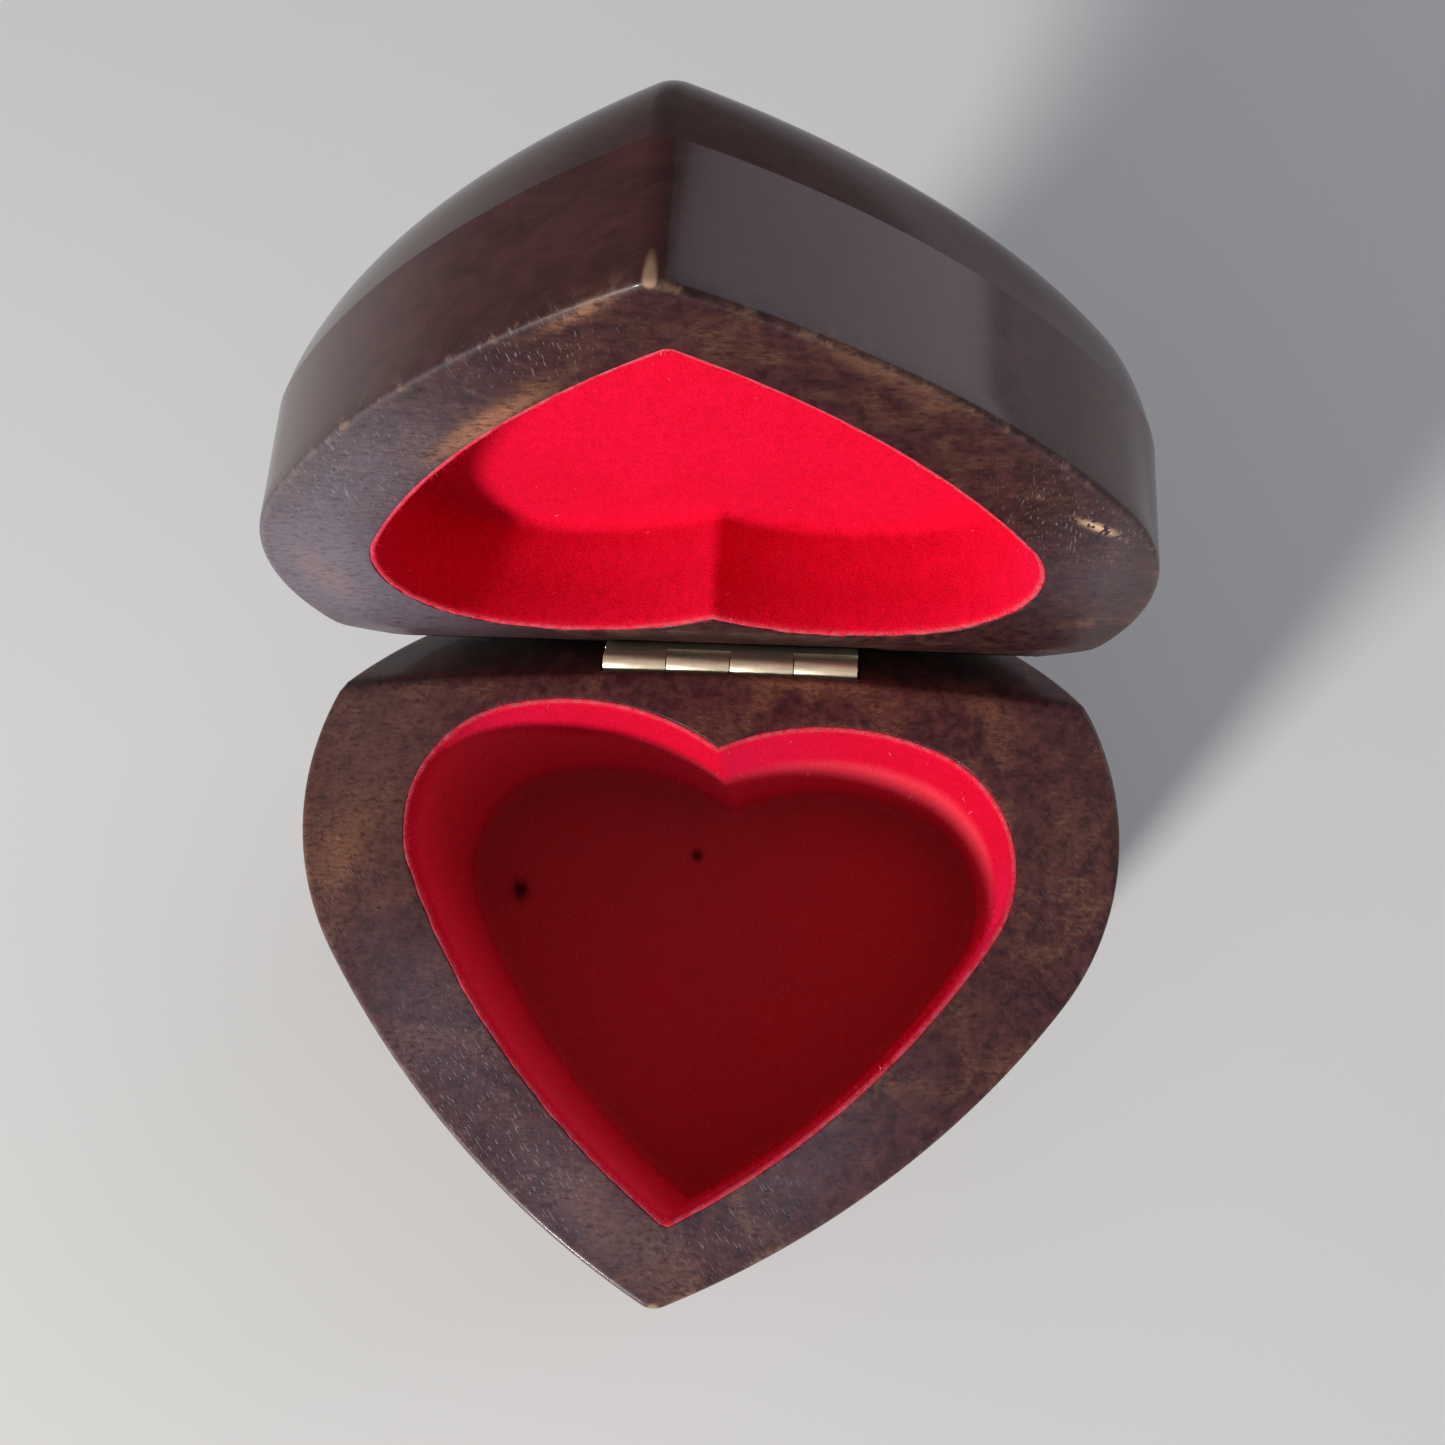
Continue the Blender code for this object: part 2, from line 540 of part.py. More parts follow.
def build_spring_drive():
    barrel_profile = [(1.5, 5.35), (8.3, 5.35), (8.3, 1.3), (7.6, 1.3), (7.6, 4.65), (1.5, 4.65)]
    spot = (ARBOR_U, ARBOR_V, 0.0)
    barrel = lathe("spring_barrel", barrel_profile, 32, "brass", movement_frame, location=spot)
    vertices, faces = [], []
    inner, outer, root, tip = 7.15, 8.1, 5.1, 6.0
    for tooth in range(CROWN_TEETH):
        middle = math.tau * (tooth + 0.5) / CROWN_TEETH
        start = len(vertices)
        for reach in (inner, outer):
            for width, height in ((0.27, root), (0.15, tip)):
                for sign in (-1, 1):
                    turn = middle + sign * width / 7.8
                    vertices.append((reach * math.cos(turn), reach * math.sin(turn), height))
        corners = ((0, 1, 3, 2), (4, 6, 7, 5), (0, 2, 6, 4), (1, 5, 7, 3), (2, 3, 7, 6), (0, 4, 5, 1))
        faces += [tuple(start + corner for corner in face) for face in corners]
    mesh = mesh_from("crown_teeth_tool", vertices, faces)
    face_outward(mesh)
    teeth = add_object("crown_teeth_tool", mesh, None, movement_frame, location=spot)
    combine(barrel, teeth, "UNION")
    lathe("barrel_cover", tube_profile(1.5, 7.3, 1.4, 1.9), 24, "brass", movement_frame, location=spot)
    build_mainspring(spot)
    lathe("winding_arbor", rod_profile(1.25, -7.6, 6.3, 0.2), 14, "steel", movement_frame, location=spot)
    ratchet = []
    for tooth in range(14):
        turn = math.tau * tooth / 14
        ratchet.append((3.5 * math.cos(turn), 3.5 * math.sin(turn)))
        ratchet.append((2.8 * math.cos(turn + 0.08), 2.8 * math.sin(turn + 0.08)))
    prism("ratchet_wheel", [ratchet, circle_points(1.4, 14)], 0.3, 1.0, "steel", movement_frame, location=spot)
    arm = [(-15.2, -10.0), (-11.6, -10.0), (-11.6, -6.4), (-12.9, -6.4), (-13.15, 0.42), (-13.6, 0.42),
           (-13.7, -6.4), (-15.2, -6.4)]
    prism("click_spring", [arm, circle_points(0.95, 12, (-13.4, -8.2))], 0.25, 0.85, "steel", movement_frame)
    lathe("click_screw", screw_profile(1.5, 0.9, 0.7, 2.4), 12, "steel", movement_frame,
          location=(-13.4, -8.2, 1.0))


def build_mainspring(spot):
    """A coiled strip from the arbor's side out to the barrel's wall."""
    turns, steps, inner, outer, thickness = 4, 14, 1.8, 7.0, 0.3
    total = turns * steps
    outward, inward = [], []
    for step in range(total + 1):
        turn = math.tau * step / steps
        reach = inner + (outer - inner) * step / total
        outward.append(((reach + thickness) * math.cos(turn), (reach + thickness) * math.sin(turn)))
        inward.append((reach * math.cos(turn), reach * math.sin(turn)))
    prism("mainspring", [outward + inward[::-1]], 2.2, 4.3, "steel", movement_frame, location=spot)


def build_cylinder():
    on_axis = {"location": (0.0, CYLINDER_V, CYLINDER_W), "rotation": (0.0, 90.0, 0.0)}
    cylinder = lathe("cylinder", tube_profile(0.95, 4.5, -1.8, 16.2), 24, "brass", movement_frame, **on_axis)
    vertices, faces = [], []
    for track in range(COMB_TEETH):
        middle = -0.9 + 0.31 + track * COMB_PITCH
        for note in range(2):
            turn = math.tau * ((track * 7 + note * 11 + track % 3) % 24 + 0.5) / 24
            start = len(vertices)
            for reach in (4.2, 4.95):
                for along in (-0.14, 0.14):
                    for sign in (-1, 1):
                        around = turn + sign * 0.035
                        vertices.append((reach * math.cos(around), reach * math.sin(around), middle + along))
            corners = ((0, 1, 3, 2), (4, 6, 7, 5), (0, 2, 6, 4), (1, 5, 7, 3), (2, 3, 7, 6), (0, 4, 5, 1))
            faces += [tuple(start + corner for corner in face) for face in corners]
    mesh = mesh_from("cylinder_pins_tool", vertices, faces)
    face_outward(mesh)
    pins = add_object("cylinder_pins_tool", mesh, None, movement_frame, **on_axis)
    combine(cylinder, pins, "UNION")
    lathe("cylinder_arbor", rod_profile(0.8, -4.6, 19.9, 0.1), 12, "steel", movement_frame, **on_axis)
    pinion_pitch = 7.8 * PINION_TEETH / CROWN_TEETH
    pinion = gear_points(PINION_TEETH, pinion_pitch, 0.25, 0.45, 0.34)
    prism("cylinder_pinion", [pinion, circle_points(0.95, 12)], -4.1, -3.1, "brass", movement_frame, **on_axis)
    wheel = gear_points(CYLINDER_WHEEL_TEETH, CYLINDER_WHEEL_TEETH * MODULE / 2, 0.25, 0.4, 0.36,
                        mesh_phase())
    prism("cylinder_wheel", [wheel, circle_points(0.95, 12)], 16.6, 17.6, "brass", movement_frame, **on_axis)


def mesh_phase():
    """The wheel's turn, in its own plane, that points one of its teeth at the transfer pinion."""
    across, up = TRANSFER_V - CYLINDER_V, TRANSFER_W - CYLINDER_W
    # a prism turned 90 degrees about Y shows its own +X as -Z and its own +Y as +Y
    return math.atan2(across, -up)


def build_transfer_and_governor():
    on_axis = {"location": (0.0, TRANSFER_V, TRANSFER_W), "rotation": (0.0, 90.0, 0.0)}
    toward_wheel = mesh_phase() + math.pi
    pinion = gear_points(TRANSFER_TEETH, TRANSFER_TEETH * MODULE / 2, 0.25, 0.4, 0.36,
                         toward_wheel + math.pi / TRANSFER_TEETH)
    gear = prism("transfer_gear", [pinion], 16.6, 18.3, "white_plastic", movement_frame, **on_axis)
    worm_side = -math.pi / 2
    wheel = gear_points(WORM_WHEEL_TEETH, WORM_WHEEL_TEETH * MODULE / 2, 0.25, 0.35, 0.3, worm_side)
    worm_wheel = prism("worm_wheel_tool", [wheel], 18.1, 18.9, None, movement_frame, **on_axis)
    combine(gear, worm_wheel, "UNION")
    drill("transfer_bore_cutter", gear, 0.65, 10.0, 25.0, movement_frame, **on_axis)
    lathe("transfer_stud", rod_profile(0.5, 16.2, 20.0, 0.1), 12, "steel", movement_frame, **on_axis)
    build_worm()
    fan_frame = {"location": (GOVERNOR_U, GOVERNOR_V, 0.0)}
    fan = box("governor_fan", (-2.7, -0.2, 9.7), (2.7, 0.2, 12.5), "steel", movement_frame, **fan_frame)
    hub = lathe("fan_hub_tool", rod_profile(0.95, 9.9, 12.3, 0.1), 12, None, movement_frame, smooth=False,
                **fan_frame)
    combine(fan, hub, "UNION")
    drill("fan_bore_cutter", fan, 0.52, 5.0, 15.0, movement_frame, **fan_frame)
    build_governor_bracket()


def build_worm():
    """The governor's arbor with a one-start thread, as stacked rings whose radius follows the helix."""
    lead = math.pi * MODULE
    around = 14
    root, crest, arbor = 1.0, 1.6, 0.4
    low, high = TRANSFER_W - 2.2, TRANSFER_W + 2.2
    levels = [low + (high - low) * step / 28 for step in range(29)]
    sections = [(circle_points(arbor, around), -1.5), (circle_points(arbor, around), low - 0.3),
                (circle_points(root, around), low - 0.2)]
    for height in levels:
        ring = []
        for step in range(around):
            turn = math.tau * step / around
            # the thread faces a gap to the wheel on the +Y side at the wheel's height
            phase = ((height - TRANSFER_W) / lead - (turn - math.pi / 2) / math.tau + 0.5) % 1.0
            offset = min(phase, 1.0 - phase) * lead
            fade = min(1.0, (height - low) / 0.3, (high - height) / 0.3)
            rise = max(0.0, min(1.0, (0.42 - offset) / 0.2)) * fade
            reach = root + (crest - root) * rise
            ring.append((reach * math.cos(turn), reach * math.sin(turn)))
        sections.append((ring, height))
    sections += [(circle_points(root, around), high + 0.2), (circle_points(arbor, around), high + 0.3),
                 (circle_points(arbor, around), 12.9)]
    loft("governor_worm", sections, "steel", movement_frame, location=(GOVERNOR_U, GOVERNOR_V, 0.0),
         smooth=True)


def build_governor_bracket():
    bracket = box("governor_bracket", (19.3, -5.5, 0.2), (20.0, 6.5, 9.7), "steel", movement_frame)
    additions = {
        "bracket_arm_strip_tool": ((19.25, -9.3, 8.0), (20.05, -3.0, 8.7)),
        "bracket_arm_tool": ((17.3, -9.35, 7.95), (19.6, -6.1, 8.75)),
        "bracket_ankle_tool": ((19.25, 5.0, 0.25), (20.05, 11.4, 2.5)),
        "bracket_foot_tool": ((16.2, 7.7, 0.15), (19.7, 11.45, 0.95)),
    }
    for name, (low, high) in additions.items():
        combine(bracket, box(name, low, high, None, movement_frame), "UNION")
    drill("bracket_cylinder_hole_cutter", bracket, 0.95, 15.0, 25.0, movement_frame,
          location=(0.0, CYLINDER_V, CYLINDER_W), rotation=(0.0, 90.0, 0.0))
    drill("bracket_stud_hole_cutter", bracket, 0.62, 15.0, 25.0, movement_frame,
          location=(0.0, TRANSFER_V, TRANSFER_W), rotation=(0.0, 90.0, 0.0))
    drill("bracket_worm_hole_cutter", bracket, 0.55, 6.0, 10.5, movement_frame,
          location=(GOVERNOR_U, GOVERNOR_V, 0.0))
    drill("bracket_foot_hole_cutter", bracket, 0.95, -1.0, 2.0, movement_frame, location=(17.7, 9.6, 0.0))
    lathe("governor_bracket_screw", screw_profile(1.4, 0.9, 0.7, 2.4), 12, "steel", movement_frame,
          location=(17.7, 9.6, 1.1))


def build_cylinder_bracket():
    bracket = box("cylinder_bracket", (-2.8, 0.5, 0.2), (-2.1, 6.5, 9.6), "steel", movement_frame)
    foot = box("cylinder_foot_tool", (-2.6, 1.5, 0.15), (1.9, 5.5, 0.95), None, movement_frame)
    combine(bracket, foot, "UNION")
    drill("cylinder_bearing_cutter", bracket, 0.95, -8.0, 4.0, movement_frame,
          location=(0.0, CYLINDER_V, CYLINDER_W), rotation=(0.0, 90.0, 0.0))
    drill("cylinder_foot_hole_cutter", bracket, 0.95, -1.0, 2.0, movement_frame, location=(0.0, 3.5, 0.0))
    lathe("cylinder_bracket_screw", screw_profile(1.4, 0.9, 0.7, 2.4), 12, "steel", movement_frame,
          location=(0.0, 3.5, 1.1))


def build_key():
    spot = (ARBOR_U, MOVEMENT_Y + ARBOR_V, 0.0)
    steps = 32
    outline = []
    for step in range(steps):
        turn = math.tau * step / steps
        waist = 0.45 + 0.55 * abs(math.cos(turn)) ** 0.6
        outline.append((11.0 * math.cos(turn), 4.2 + 2.4 * math.sin(turn) * waist))
    key = prism("winding_key", [outline], -0.7, 0.7, "brass", box_frame, location=spot,
                rotation=(90.0, 0.0, 25.0))
    hub = lathe("key_hub_tool", [(0.0, 6.9), (2.0, 6.9), (2.3, 6.6), (2.3, 2.4), (1.8, 1.7), (0.0, 1.7)], 16,
                None, box_frame, smooth=False, location=spot)
    combine(key, hub, "UNION")
    drill("key_bore_cutter", key, 1.4, 4.4, 12.0, box_frame, location=spot)


def main():
    build_base_shell()
    build_base_fittings()
    build_lid()
    build_hinge()
    build_bedplate()
    build_comb()
    build_spring_drive()
    build_cylinder()
    build_transfer_and_governor()
    build_cylinder_bracket()
    build_key()


clear_scene()
part_collection = make_collection(PART_COLLECTION)
cutter_collection = make_collection("cutters")
materials.update({
    "dark_wood": ((0.11, 0.05, 0.04), 0.0, 0.35),
    "plain_wood": ((0.42, 0.27, 0.15), 0.0, 0.7),
    "red_flock": ((0.72, 0.01, 0.05), 0.0, 0.95),
    "brass": ((0.72, 0.62, 0.38), 1.0, 0.3),
    "steel": ((0.6, 0.6, 0.6), 1.0, 0.35),
    "white_plastic": ((0.85, 0.84, 0.8), 0.0, 0.4),
})
box_frame = add_empty("box_frame", (CENTRE_X, HINGE_Y, 0.0))
hinge_spot = (0.0, 0.0, BASE_HEIGHT - HINGE_DROP)
lid_frame = add_empty("lid_frame", hinge_spot, (-LID_OPEN_ANGLE, 0.0, 0.0), box_frame)
lid_leaf_frame = add_empty("lid_leaf_frame", (HINGE_X, 0.0, 0.0), (BEVEL_ANGLE, 0.0, 0.0), lid_frame)
base_leaf_frame = add_empty("base_leaf_frame", (HINGE_X, 0.0, BASE_HEIGHT - HINGE_DROP),
                            (-BEVEL_ANGLE, 0.0, 0.0), box_frame)
movement_frame = add_empty("movement_frame", (0.0, MOVEMENT_Y, BED_TOP), (0.0, 0.0, 0.0), box_frame)
main()
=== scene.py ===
"""The looks of the heart-shaped wooden music box: stained wood, red flock, a small brass hinge and its key.

Lengths in the constants are millimetres.  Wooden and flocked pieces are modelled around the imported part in
the same two frames that it has: the base upright, and the lid closed and then swung open about the hinge.
"""

import json
import math
import random

import bmesh
import bpy
import numpy as np
from mathutils import Matrix, Vector, noise


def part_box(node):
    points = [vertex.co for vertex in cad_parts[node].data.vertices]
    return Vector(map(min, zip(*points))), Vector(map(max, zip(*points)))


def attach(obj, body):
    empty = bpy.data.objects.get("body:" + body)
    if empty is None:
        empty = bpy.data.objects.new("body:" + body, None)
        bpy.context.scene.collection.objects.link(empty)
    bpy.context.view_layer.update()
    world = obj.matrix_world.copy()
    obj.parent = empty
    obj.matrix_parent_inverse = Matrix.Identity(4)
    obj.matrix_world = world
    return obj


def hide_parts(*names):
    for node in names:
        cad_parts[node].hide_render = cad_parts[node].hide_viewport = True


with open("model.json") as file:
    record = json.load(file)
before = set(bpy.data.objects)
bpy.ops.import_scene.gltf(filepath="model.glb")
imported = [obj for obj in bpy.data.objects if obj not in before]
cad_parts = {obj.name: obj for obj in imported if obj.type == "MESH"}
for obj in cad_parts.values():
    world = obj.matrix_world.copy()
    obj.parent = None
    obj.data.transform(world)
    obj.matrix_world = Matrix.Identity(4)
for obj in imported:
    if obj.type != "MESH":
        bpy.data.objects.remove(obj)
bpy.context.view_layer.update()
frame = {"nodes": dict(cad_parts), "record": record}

MM = 0.001

# Heart outlines: shoulder centre x and y, shoulder radius, flank radius, tip y, top radius, cusp y
OUTER_HEART = (12.3, -15.2, 26.7, 89.0, -59.6, 32.0, 8.6)
CAVITY_HEART = (17.2, -17.8, 12.06, 79.0, -52.6, 25.9, -8.3)
OUTER_TIP_RADIUS = 2.2
CAVITY_TIP_RADIUS = 0.9
TIP_STEPS, FLANK_STEPS, SHOULDER_STEPS, TOP_STEPS = 10, 48, 52, 30
HEART_MIDDLE = (0.0, -27.0)

# Each outline as it was sawn: how far its tip leans in x, and how far it is turned, in degrees
BASE_OUTER = (-0.9, -1.7)
BASE_CAVITY = (1.4, -4.3)
LID_OUTER = (0.2, -1.3)
LID_CAVITY = (1.3, -1.8)
TURN_POINT_Y = -25.0
LEAN_REACH = 34.0

# Box
HINGE_X = 1.9
BASE_HEIGHT = 59.3
CAVITY_STEP = 28.5
FLOOR_SURFACE = 29.3
PANEL_SEAT = 10.3
RECESS_INSET = 3.2
CHAMBER_GROWTH = 1.0
LID_RIM = 1.3
LID_CEILING = 13.2
LID_FLOCK_SURFACE = 12.3
LID_WALL_TOP = 12.4
SHOULDER_PULL = ((0.0, 12.4), (0.8, 16.4), (1.8, 20.2), (4.6, 20.4))
LID_OPEN_ANGLE = 95.0
FOOT_PROFILE = ((0.6, 0.0), (0.3, 0.08), (0.1, 0.28), (0.0, 0.6))
FOOT_TOP = 0.6
BASE_CAVITY_RING = 8.0
LID_CAVITY_RING = 6.0

# How finely the wood is divided
BASE_WALL_STEPS, LID_WALL_STEPS, SHOULDER_STEPS_UP = 10, 8, 16
RIM_RINGS, OUTER_ROUND_STEPS, CAVITY_ROUND_STEPS = 26, 6, 4
LID_TOP_RINGS, LID_CEILING_RINGS = 16, 12

# Bevels beside the hinge
BEVEL_ANGLE = 47.5
BEVEL_CLEARANCE = 0.15
BASE_CREASE_START = -1.1
BASE_CREASE_BOW = 2.1
CREASE_BOW_REACH = 35.0
LID_CHAMFER_START = -4.2
LID_CHAMFER_ANGLE = 15.0
LID_CHAMFER_SOFTNESS = 0.25
CREASE_SOFTNESS = 0.5
EDGE_ROUND = 0.55
CAVITY_EDGE_ROUND = 0.07

# Where the finish is worn: the rim's depth and fade, its outer edge and the tip
RIM_DEPTH, RIM_FADE = 0.25, 0.5
EDGE_WEAR, EDGE_WEAR_REACH, EDGE_WEAR_DEPTH = 0.45, 0.4, 0.5
TIP_WEAR_REACH, TIP_WEAR_LENGTH = 0.55, 2.4

# Marks on the rims: x, y, half length, half width, turn in degrees and strength
BASE_MARKS = {
    "scuffed": ((-20.0, -41.0, 9.0, 5.0, -52.0, 1.0), (-13.0, -48.5, 7.0, 4.5, -50.0, 0.9),
                (5.0, -52.0, 8.0, 4.0, 40.0, 0.8), (-35.0, -24.0, 10.0, 5.0, 80.0, 0.5),
                (34.0, -22.0, 14.0, 5.0, 80.0, 0.3)),
    "patch": ((-33.0, -14.0, 14.0, 8.0, 80.0, 0.3), (-34.3, -20.5, 5.0, 2.2, 70.0, 0.4),
              (-7.0, -51.5, 3.5, 2.0, -50.0, 0.35), (34.5, -14.0, 5.0, 2.2, 90.0, 0.2),
              (26.0, -2.5, 6.0, 1.2, -30.0, 0.3), (8.5, -1.8, 6.0, 0.5, -2.0, 1.0)),
    # Painted sheen: soft bluish-grey patches standing in for the rim's reflection of the bright surroundings
    "painted_sheen": ((-24.0, -36.0, 12.0, 6.0, -52.0, 0.45), (-9.0, -51.0, 9.0, 5.0, -40.0, 0.5),
             (10.0, -47.0, 12.0, 6.0, 42.0, 0.4), (-33.0, -8.0, 8.0, 8.0, 0.0, 0.15)),
    "chip": (),
}
LID_MARKS = {
    "scuffed": ((-28.0, -33.0, 12.0, 6.0, -55.0, 0.5), (30.0, -30.0, 8.0, 5.0, 50.0, 0.5),
                (-9.0, -52.0, 6.0, 3.0, -40.0, 0.5)),
    "patch": ((-14.4, -42.0, 6.0, 1.0, -45.0, 1.3), (-5.2, -56.2, 3.0, 0.5, -38.0, 0.9),
              (-34.0, -16.0, 5.0, 1.6, 80.0, 0.35), (34.4, -10.3, 0.7, 0.5, 0.0, 0.8),
              (14.0, -50.5, 6.0, 1.2, 42.0, 0.3)),
    # Painted sheen: soft bluish-grey patches standing in for the rim's reflection of the bright surroundings
    "painted_sheen": ((-33.0, -15.0, 16.0, 11.0, 80.0, 1.0), (-24.0, -36.0, 12.0, 6.0, -52.0, 0.5),
             (33.0, -20.0, 9.0, 5.0, 90.0, 0.25)),
    "chip": ((32.0, -29.2, 1.7, 0.4, 35.0, 1.3),),
}

# Hinge
BARREL_RADIUS = 1.0
BARREL_BORE = 0.52
PIN_RADIUS = 0.4
NOTCH_RADIUS = 1.3
LEAF_INNER, LEAF_OUTER = 0.35, 1.0
LEAF_NEAR, LEAF_FAR = 1.35, 7.0
LEAF_SCREW_X, LEAF_SCREW_REACH = 7.8, 5.2
HINGE_LENGTH = 25.0
KNUCKLE_GAP = 0.12
CURL_END, CURL_STEPS = 365.0, 32
LEAF_SINK = ((0.0, 0.2), (1.4, 0.2), (1.4, 0.36), (0.74, 0.95), (0.74, 2.0), (0.0, 2.0))
LEAF_SCREW_HEAD = ((0.0, 0.42), (0.6, 0.43), (0.95, 0.47), (1.1, 0.54), (1.04, 0.64), (0.58, 1.05))
POCKET_HALF, POCKET_FAR = 12.8, 7.3
BASE_POCKET_NEAR, LID_POCKET_NEAR = 0.6, 2.0
POCKET_DEPTH, POCKET_MOUTH = 1.1, 1.5
PILOT_RADIUS, PILOT_HALF, PILOT_MIDDLE = 0.75, 3.0, 3.3

# Flock.  The lining's upper edge is given as insets and drops below the rim
LINING_EDGE = ((0.05, 0.85), (0.01, 0.45), (0.0, 0.10), (0.15, 0.05), (0.4, 0.16), (0.52, 0.4))
LINING_INSET, LINING_START, LINING_CORNER = 0.6, 0.8, 1.1
LINING_LEVELS, LINING_CORNER_STEPS, LINING_FLOOR_RINGS = 26, 6, 34
LINING_WAVE = 0.05
FIBRE_LENGTH = 0.55
FIBRE_STANDS_PROUD = 0.1
PALE_FIBRE_SHARE = 0.012
BASE_FIBRES, LID_FIBRES, EDGE_FIBRES = 15000, 13000, 1600
BASE_STAINS = ((-22.7, -19.2, 0.8, 1.1), (-2.5, -14.3, 0.55, 0.6), (-17.8, -38.9, 0.25, 0.5))
GLUE_FADE = 0.22
STAIN_STRENGTH = 1.4
# Painted shade in the base's compartment: how far the floor's painted shade climbs the walls, the fade below
# the sunlit band, and that band's depth
FLOOR_SHADE_CLIMB, SHADE_FADE, SUNLIT_BAND = 4.5, 4.0, 11.0

# Stage
FLOOR_HALF = 900.0
LIGHTS_AIM = (0.0, -0.005, 0.06)

# View
CAMERA_FROM_HINGE = (10.43, -40.54, 137.70)
CAMERA_TURN = (14.34, 2.96, 3.01)
CAMERA_LENS = 36.47


# ---- Frames ----

pin_low, pin_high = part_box("hinge_pin")
pin_middle = (pin_low + pin_high) / 2
AXIS_Z = pin_middle.z
BOX_ORIGIN = Vector((pin_middle.x - HINGE_X * MM, pin_middle.y, 0.0))
box_frame = Matrix.Translation(BOX_ORIGIN)
axis_frame = Matrix.Translation(BOX_ORIGIN + Vector((0.0, 0.0, AXIS_Z)))
lid_frame = axis_frame @ Matrix.Rotation(math.radians(-LID_OPEN_ANGLE), 4, "X")
leaf_shift = Matrix.Translation((HINGE_X * MM, 0.0, 0.0))
base_leaf_frame = axis_frame @ leaf_shift @ Matrix.Rotation(math.radians(-BEVEL_ANGLE), 4, "X")
lid_leaf_frame = lid_frame @ leaf_shift @ Matrix.Rotation(math.radians(BEVEL_ANGLE), 4, "X")


# ---- Outlines ----

def circle_meeting(centre_a, radius_a, centre_b, radius_b, smallest):
    """The crossing of two circles that makes the coordinate number `smallest` least."""
    span = centre_b - centre_a
    along = (radius_a ** 2 - radius_b ** 2 + span.length_squared) / (2 * span.length)
    across = math.sqrt(max(radius_a ** 2 - along ** 2, 0.0))
    direction = span.normalized()
    middle = centre_a + direction * along
    side = Vector((-direction.y, direction.x)) * across
    return min((middle + side, middle - side), key=lambda point: point[smallest])


def arc(centre, radius, start, end, steps):
    """Points after `start` on the counter-clockwise arc to `end`."""
    first = math.atan2(start.y - centre.y, start.x - centre.x)
    last = math.atan2(end.y - centre.y, end.x - centre.x)
    if last < first:
        last += math.tau
    points = []
    for step in range(1, steps + 1):
        turn = first + (last - first) * step / steps
        points.append(Vector((centre.x + radius * math.cos(turn), centre.y + radius * math.sin(turn))))
    return points


def heart_points(shape, inset, tip_radius):
    """A symmetrical heart outline, counter-clockwise from its tip, shrunk by `inset`, as an array."""
    centre_x, centre_y, shoulder_radius, flank_radius, tip_y, top_radius, cusp_y = shape
    shoulder = Vector((centre_x, centre_y))
    flank = circle_meeting(shoulder, flank_radius - shoulder_radius, Vector((0.0, tip_y)), flank_radius, 0)
    top = circle_meeting(shoulder, top_radius - shoulder_radius, Vector((0.0, cusp_y)), top_radius, 1)
    flank_radius -= inset
    shoulder_radius -= inset
    top_radius -= inset
    tip_centre = Vector((0.0, flank.y - math.sqrt((flank_radius - tip_radius) ** 2 - flank.x ** 2)))
    tip = tip_centre - Vector((0.0, tip_radius))
    tip_end = flank + (tip_centre - flank).normalized() * flank_radius
    flank_end = shoulder + (shoulder - flank).normalized() * shoulder_radius
    shoulder_end = shoulder + (shoulder - top).normalized() * shoulder_radius
    cusp = Vector((0.0, top.y + math.sqrt(top_radius ** 2 - top.x ** 2)))
    right = [tip]
    right += arc(tip_centre, tip_radius, tip, tip_end, TIP_STEPS)
    right += arc(flank, flank_radius, tip_end, flank_end, FLANK_STEPS)
    right += arc(shoulder, shoulder_radius, flank_end, shoulder_end, SHOULDER_STEPS)
    right += arc(top, top_radius, shoulder_end, cusp, TOP_STEPS)
    left = [Vector((-point.x, point.y)) for point in reversed(right[1:-1])]
    return np.array([(point.x, point.y) for point in right + left])


def hand_sawn(points, lean, turn):
    """Leans a heart's tip to one side and turns the heart about the point in its middle."""
    angle = math.radians(turn)
    below = np.maximum(TURN_POINT_Y - points[:, 1], 0.0) / LEAN_REACH
    x = points[:, 0] + lean * below ** 2
    y = points[:, 1] - TURN_POINT_Y
    return np.column_stack([x * math.cos(angle) - y * math.sin(angle),
                            x * math.sin(angle) + y * math.cos(angle) + TURN_POINT_Y])


def outline(shape, tip_radius, sawn):
    """A function from an inset to the sawn outline shrunk by that inset."""
    return lambda inset: hand_sawn(heart_points(shape, inset, tip_radius), *sawn)


base_outer = outline(OUTER_HEART, OUTER_TIP_RADIUS, BASE_OUTER)
base_cavity = outline(CAVITY_HEART, CAVITY_TIP_RADIUS, BASE_CAVITY)
lid_outer = outline(OUTER_HEART, OUTER_TIP_RADIUS, LID_OUTER)
lid_cavity = outline(CAVITY_HEART, CAVITY_TIP_RADIUS, LID_CAVITY)


def soft_least(first, second, softness):
    """The smaller of two heights, blended over `softness` where they cross."""
    share = np.clip(0.5 + 0.5 * (second - first) / softness, 0.0, 1.0)
    return second + (first - second) * share - softness * share * (1.0 - share)


def base_top(points):
    """Height of the base's upper face, above the table: flat, then falling away behind the hinge line."""
    slope = math.tan(math.radians(BEVEL_ANGLE))
    crease = BASE_CREASE_START - BASE_CREASE_BOW * ((points[:, 0] - HINGE_X) / CREASE_BOW_REACH) ** 2
    bevel = BASE_HEIGHT - (points[:, 1] - crease) * slope
    return soft_least(np.full(len(points), BASE_HEIGHT), bevel, CREASE_SOFTNESS)


def lid_underside(points):
    """Height of the closed lid's lower face above the hinge axis: flat, a slight rise, then the bevel."""
    rise = LID_RIM + (points[:, 1] - LID_CHAMFER_START) * math.tan(math.radians(LID_CHAMFER_ANGLE))
    slope = math.radians(BEVEL_ANGLE)
    bevel = (BEVEL_CLEARANCE + points[:, 1] * math.sin(slope)) / math.cos(slope)
    height = -soft_least(np.full(len(points), -LID_RIM), -rise, LID_CHAMFER_SOFTNESS)
    return -soft_least(-height, -bevel, CREASE_SOFTNESS)


# ---- Meshes ----

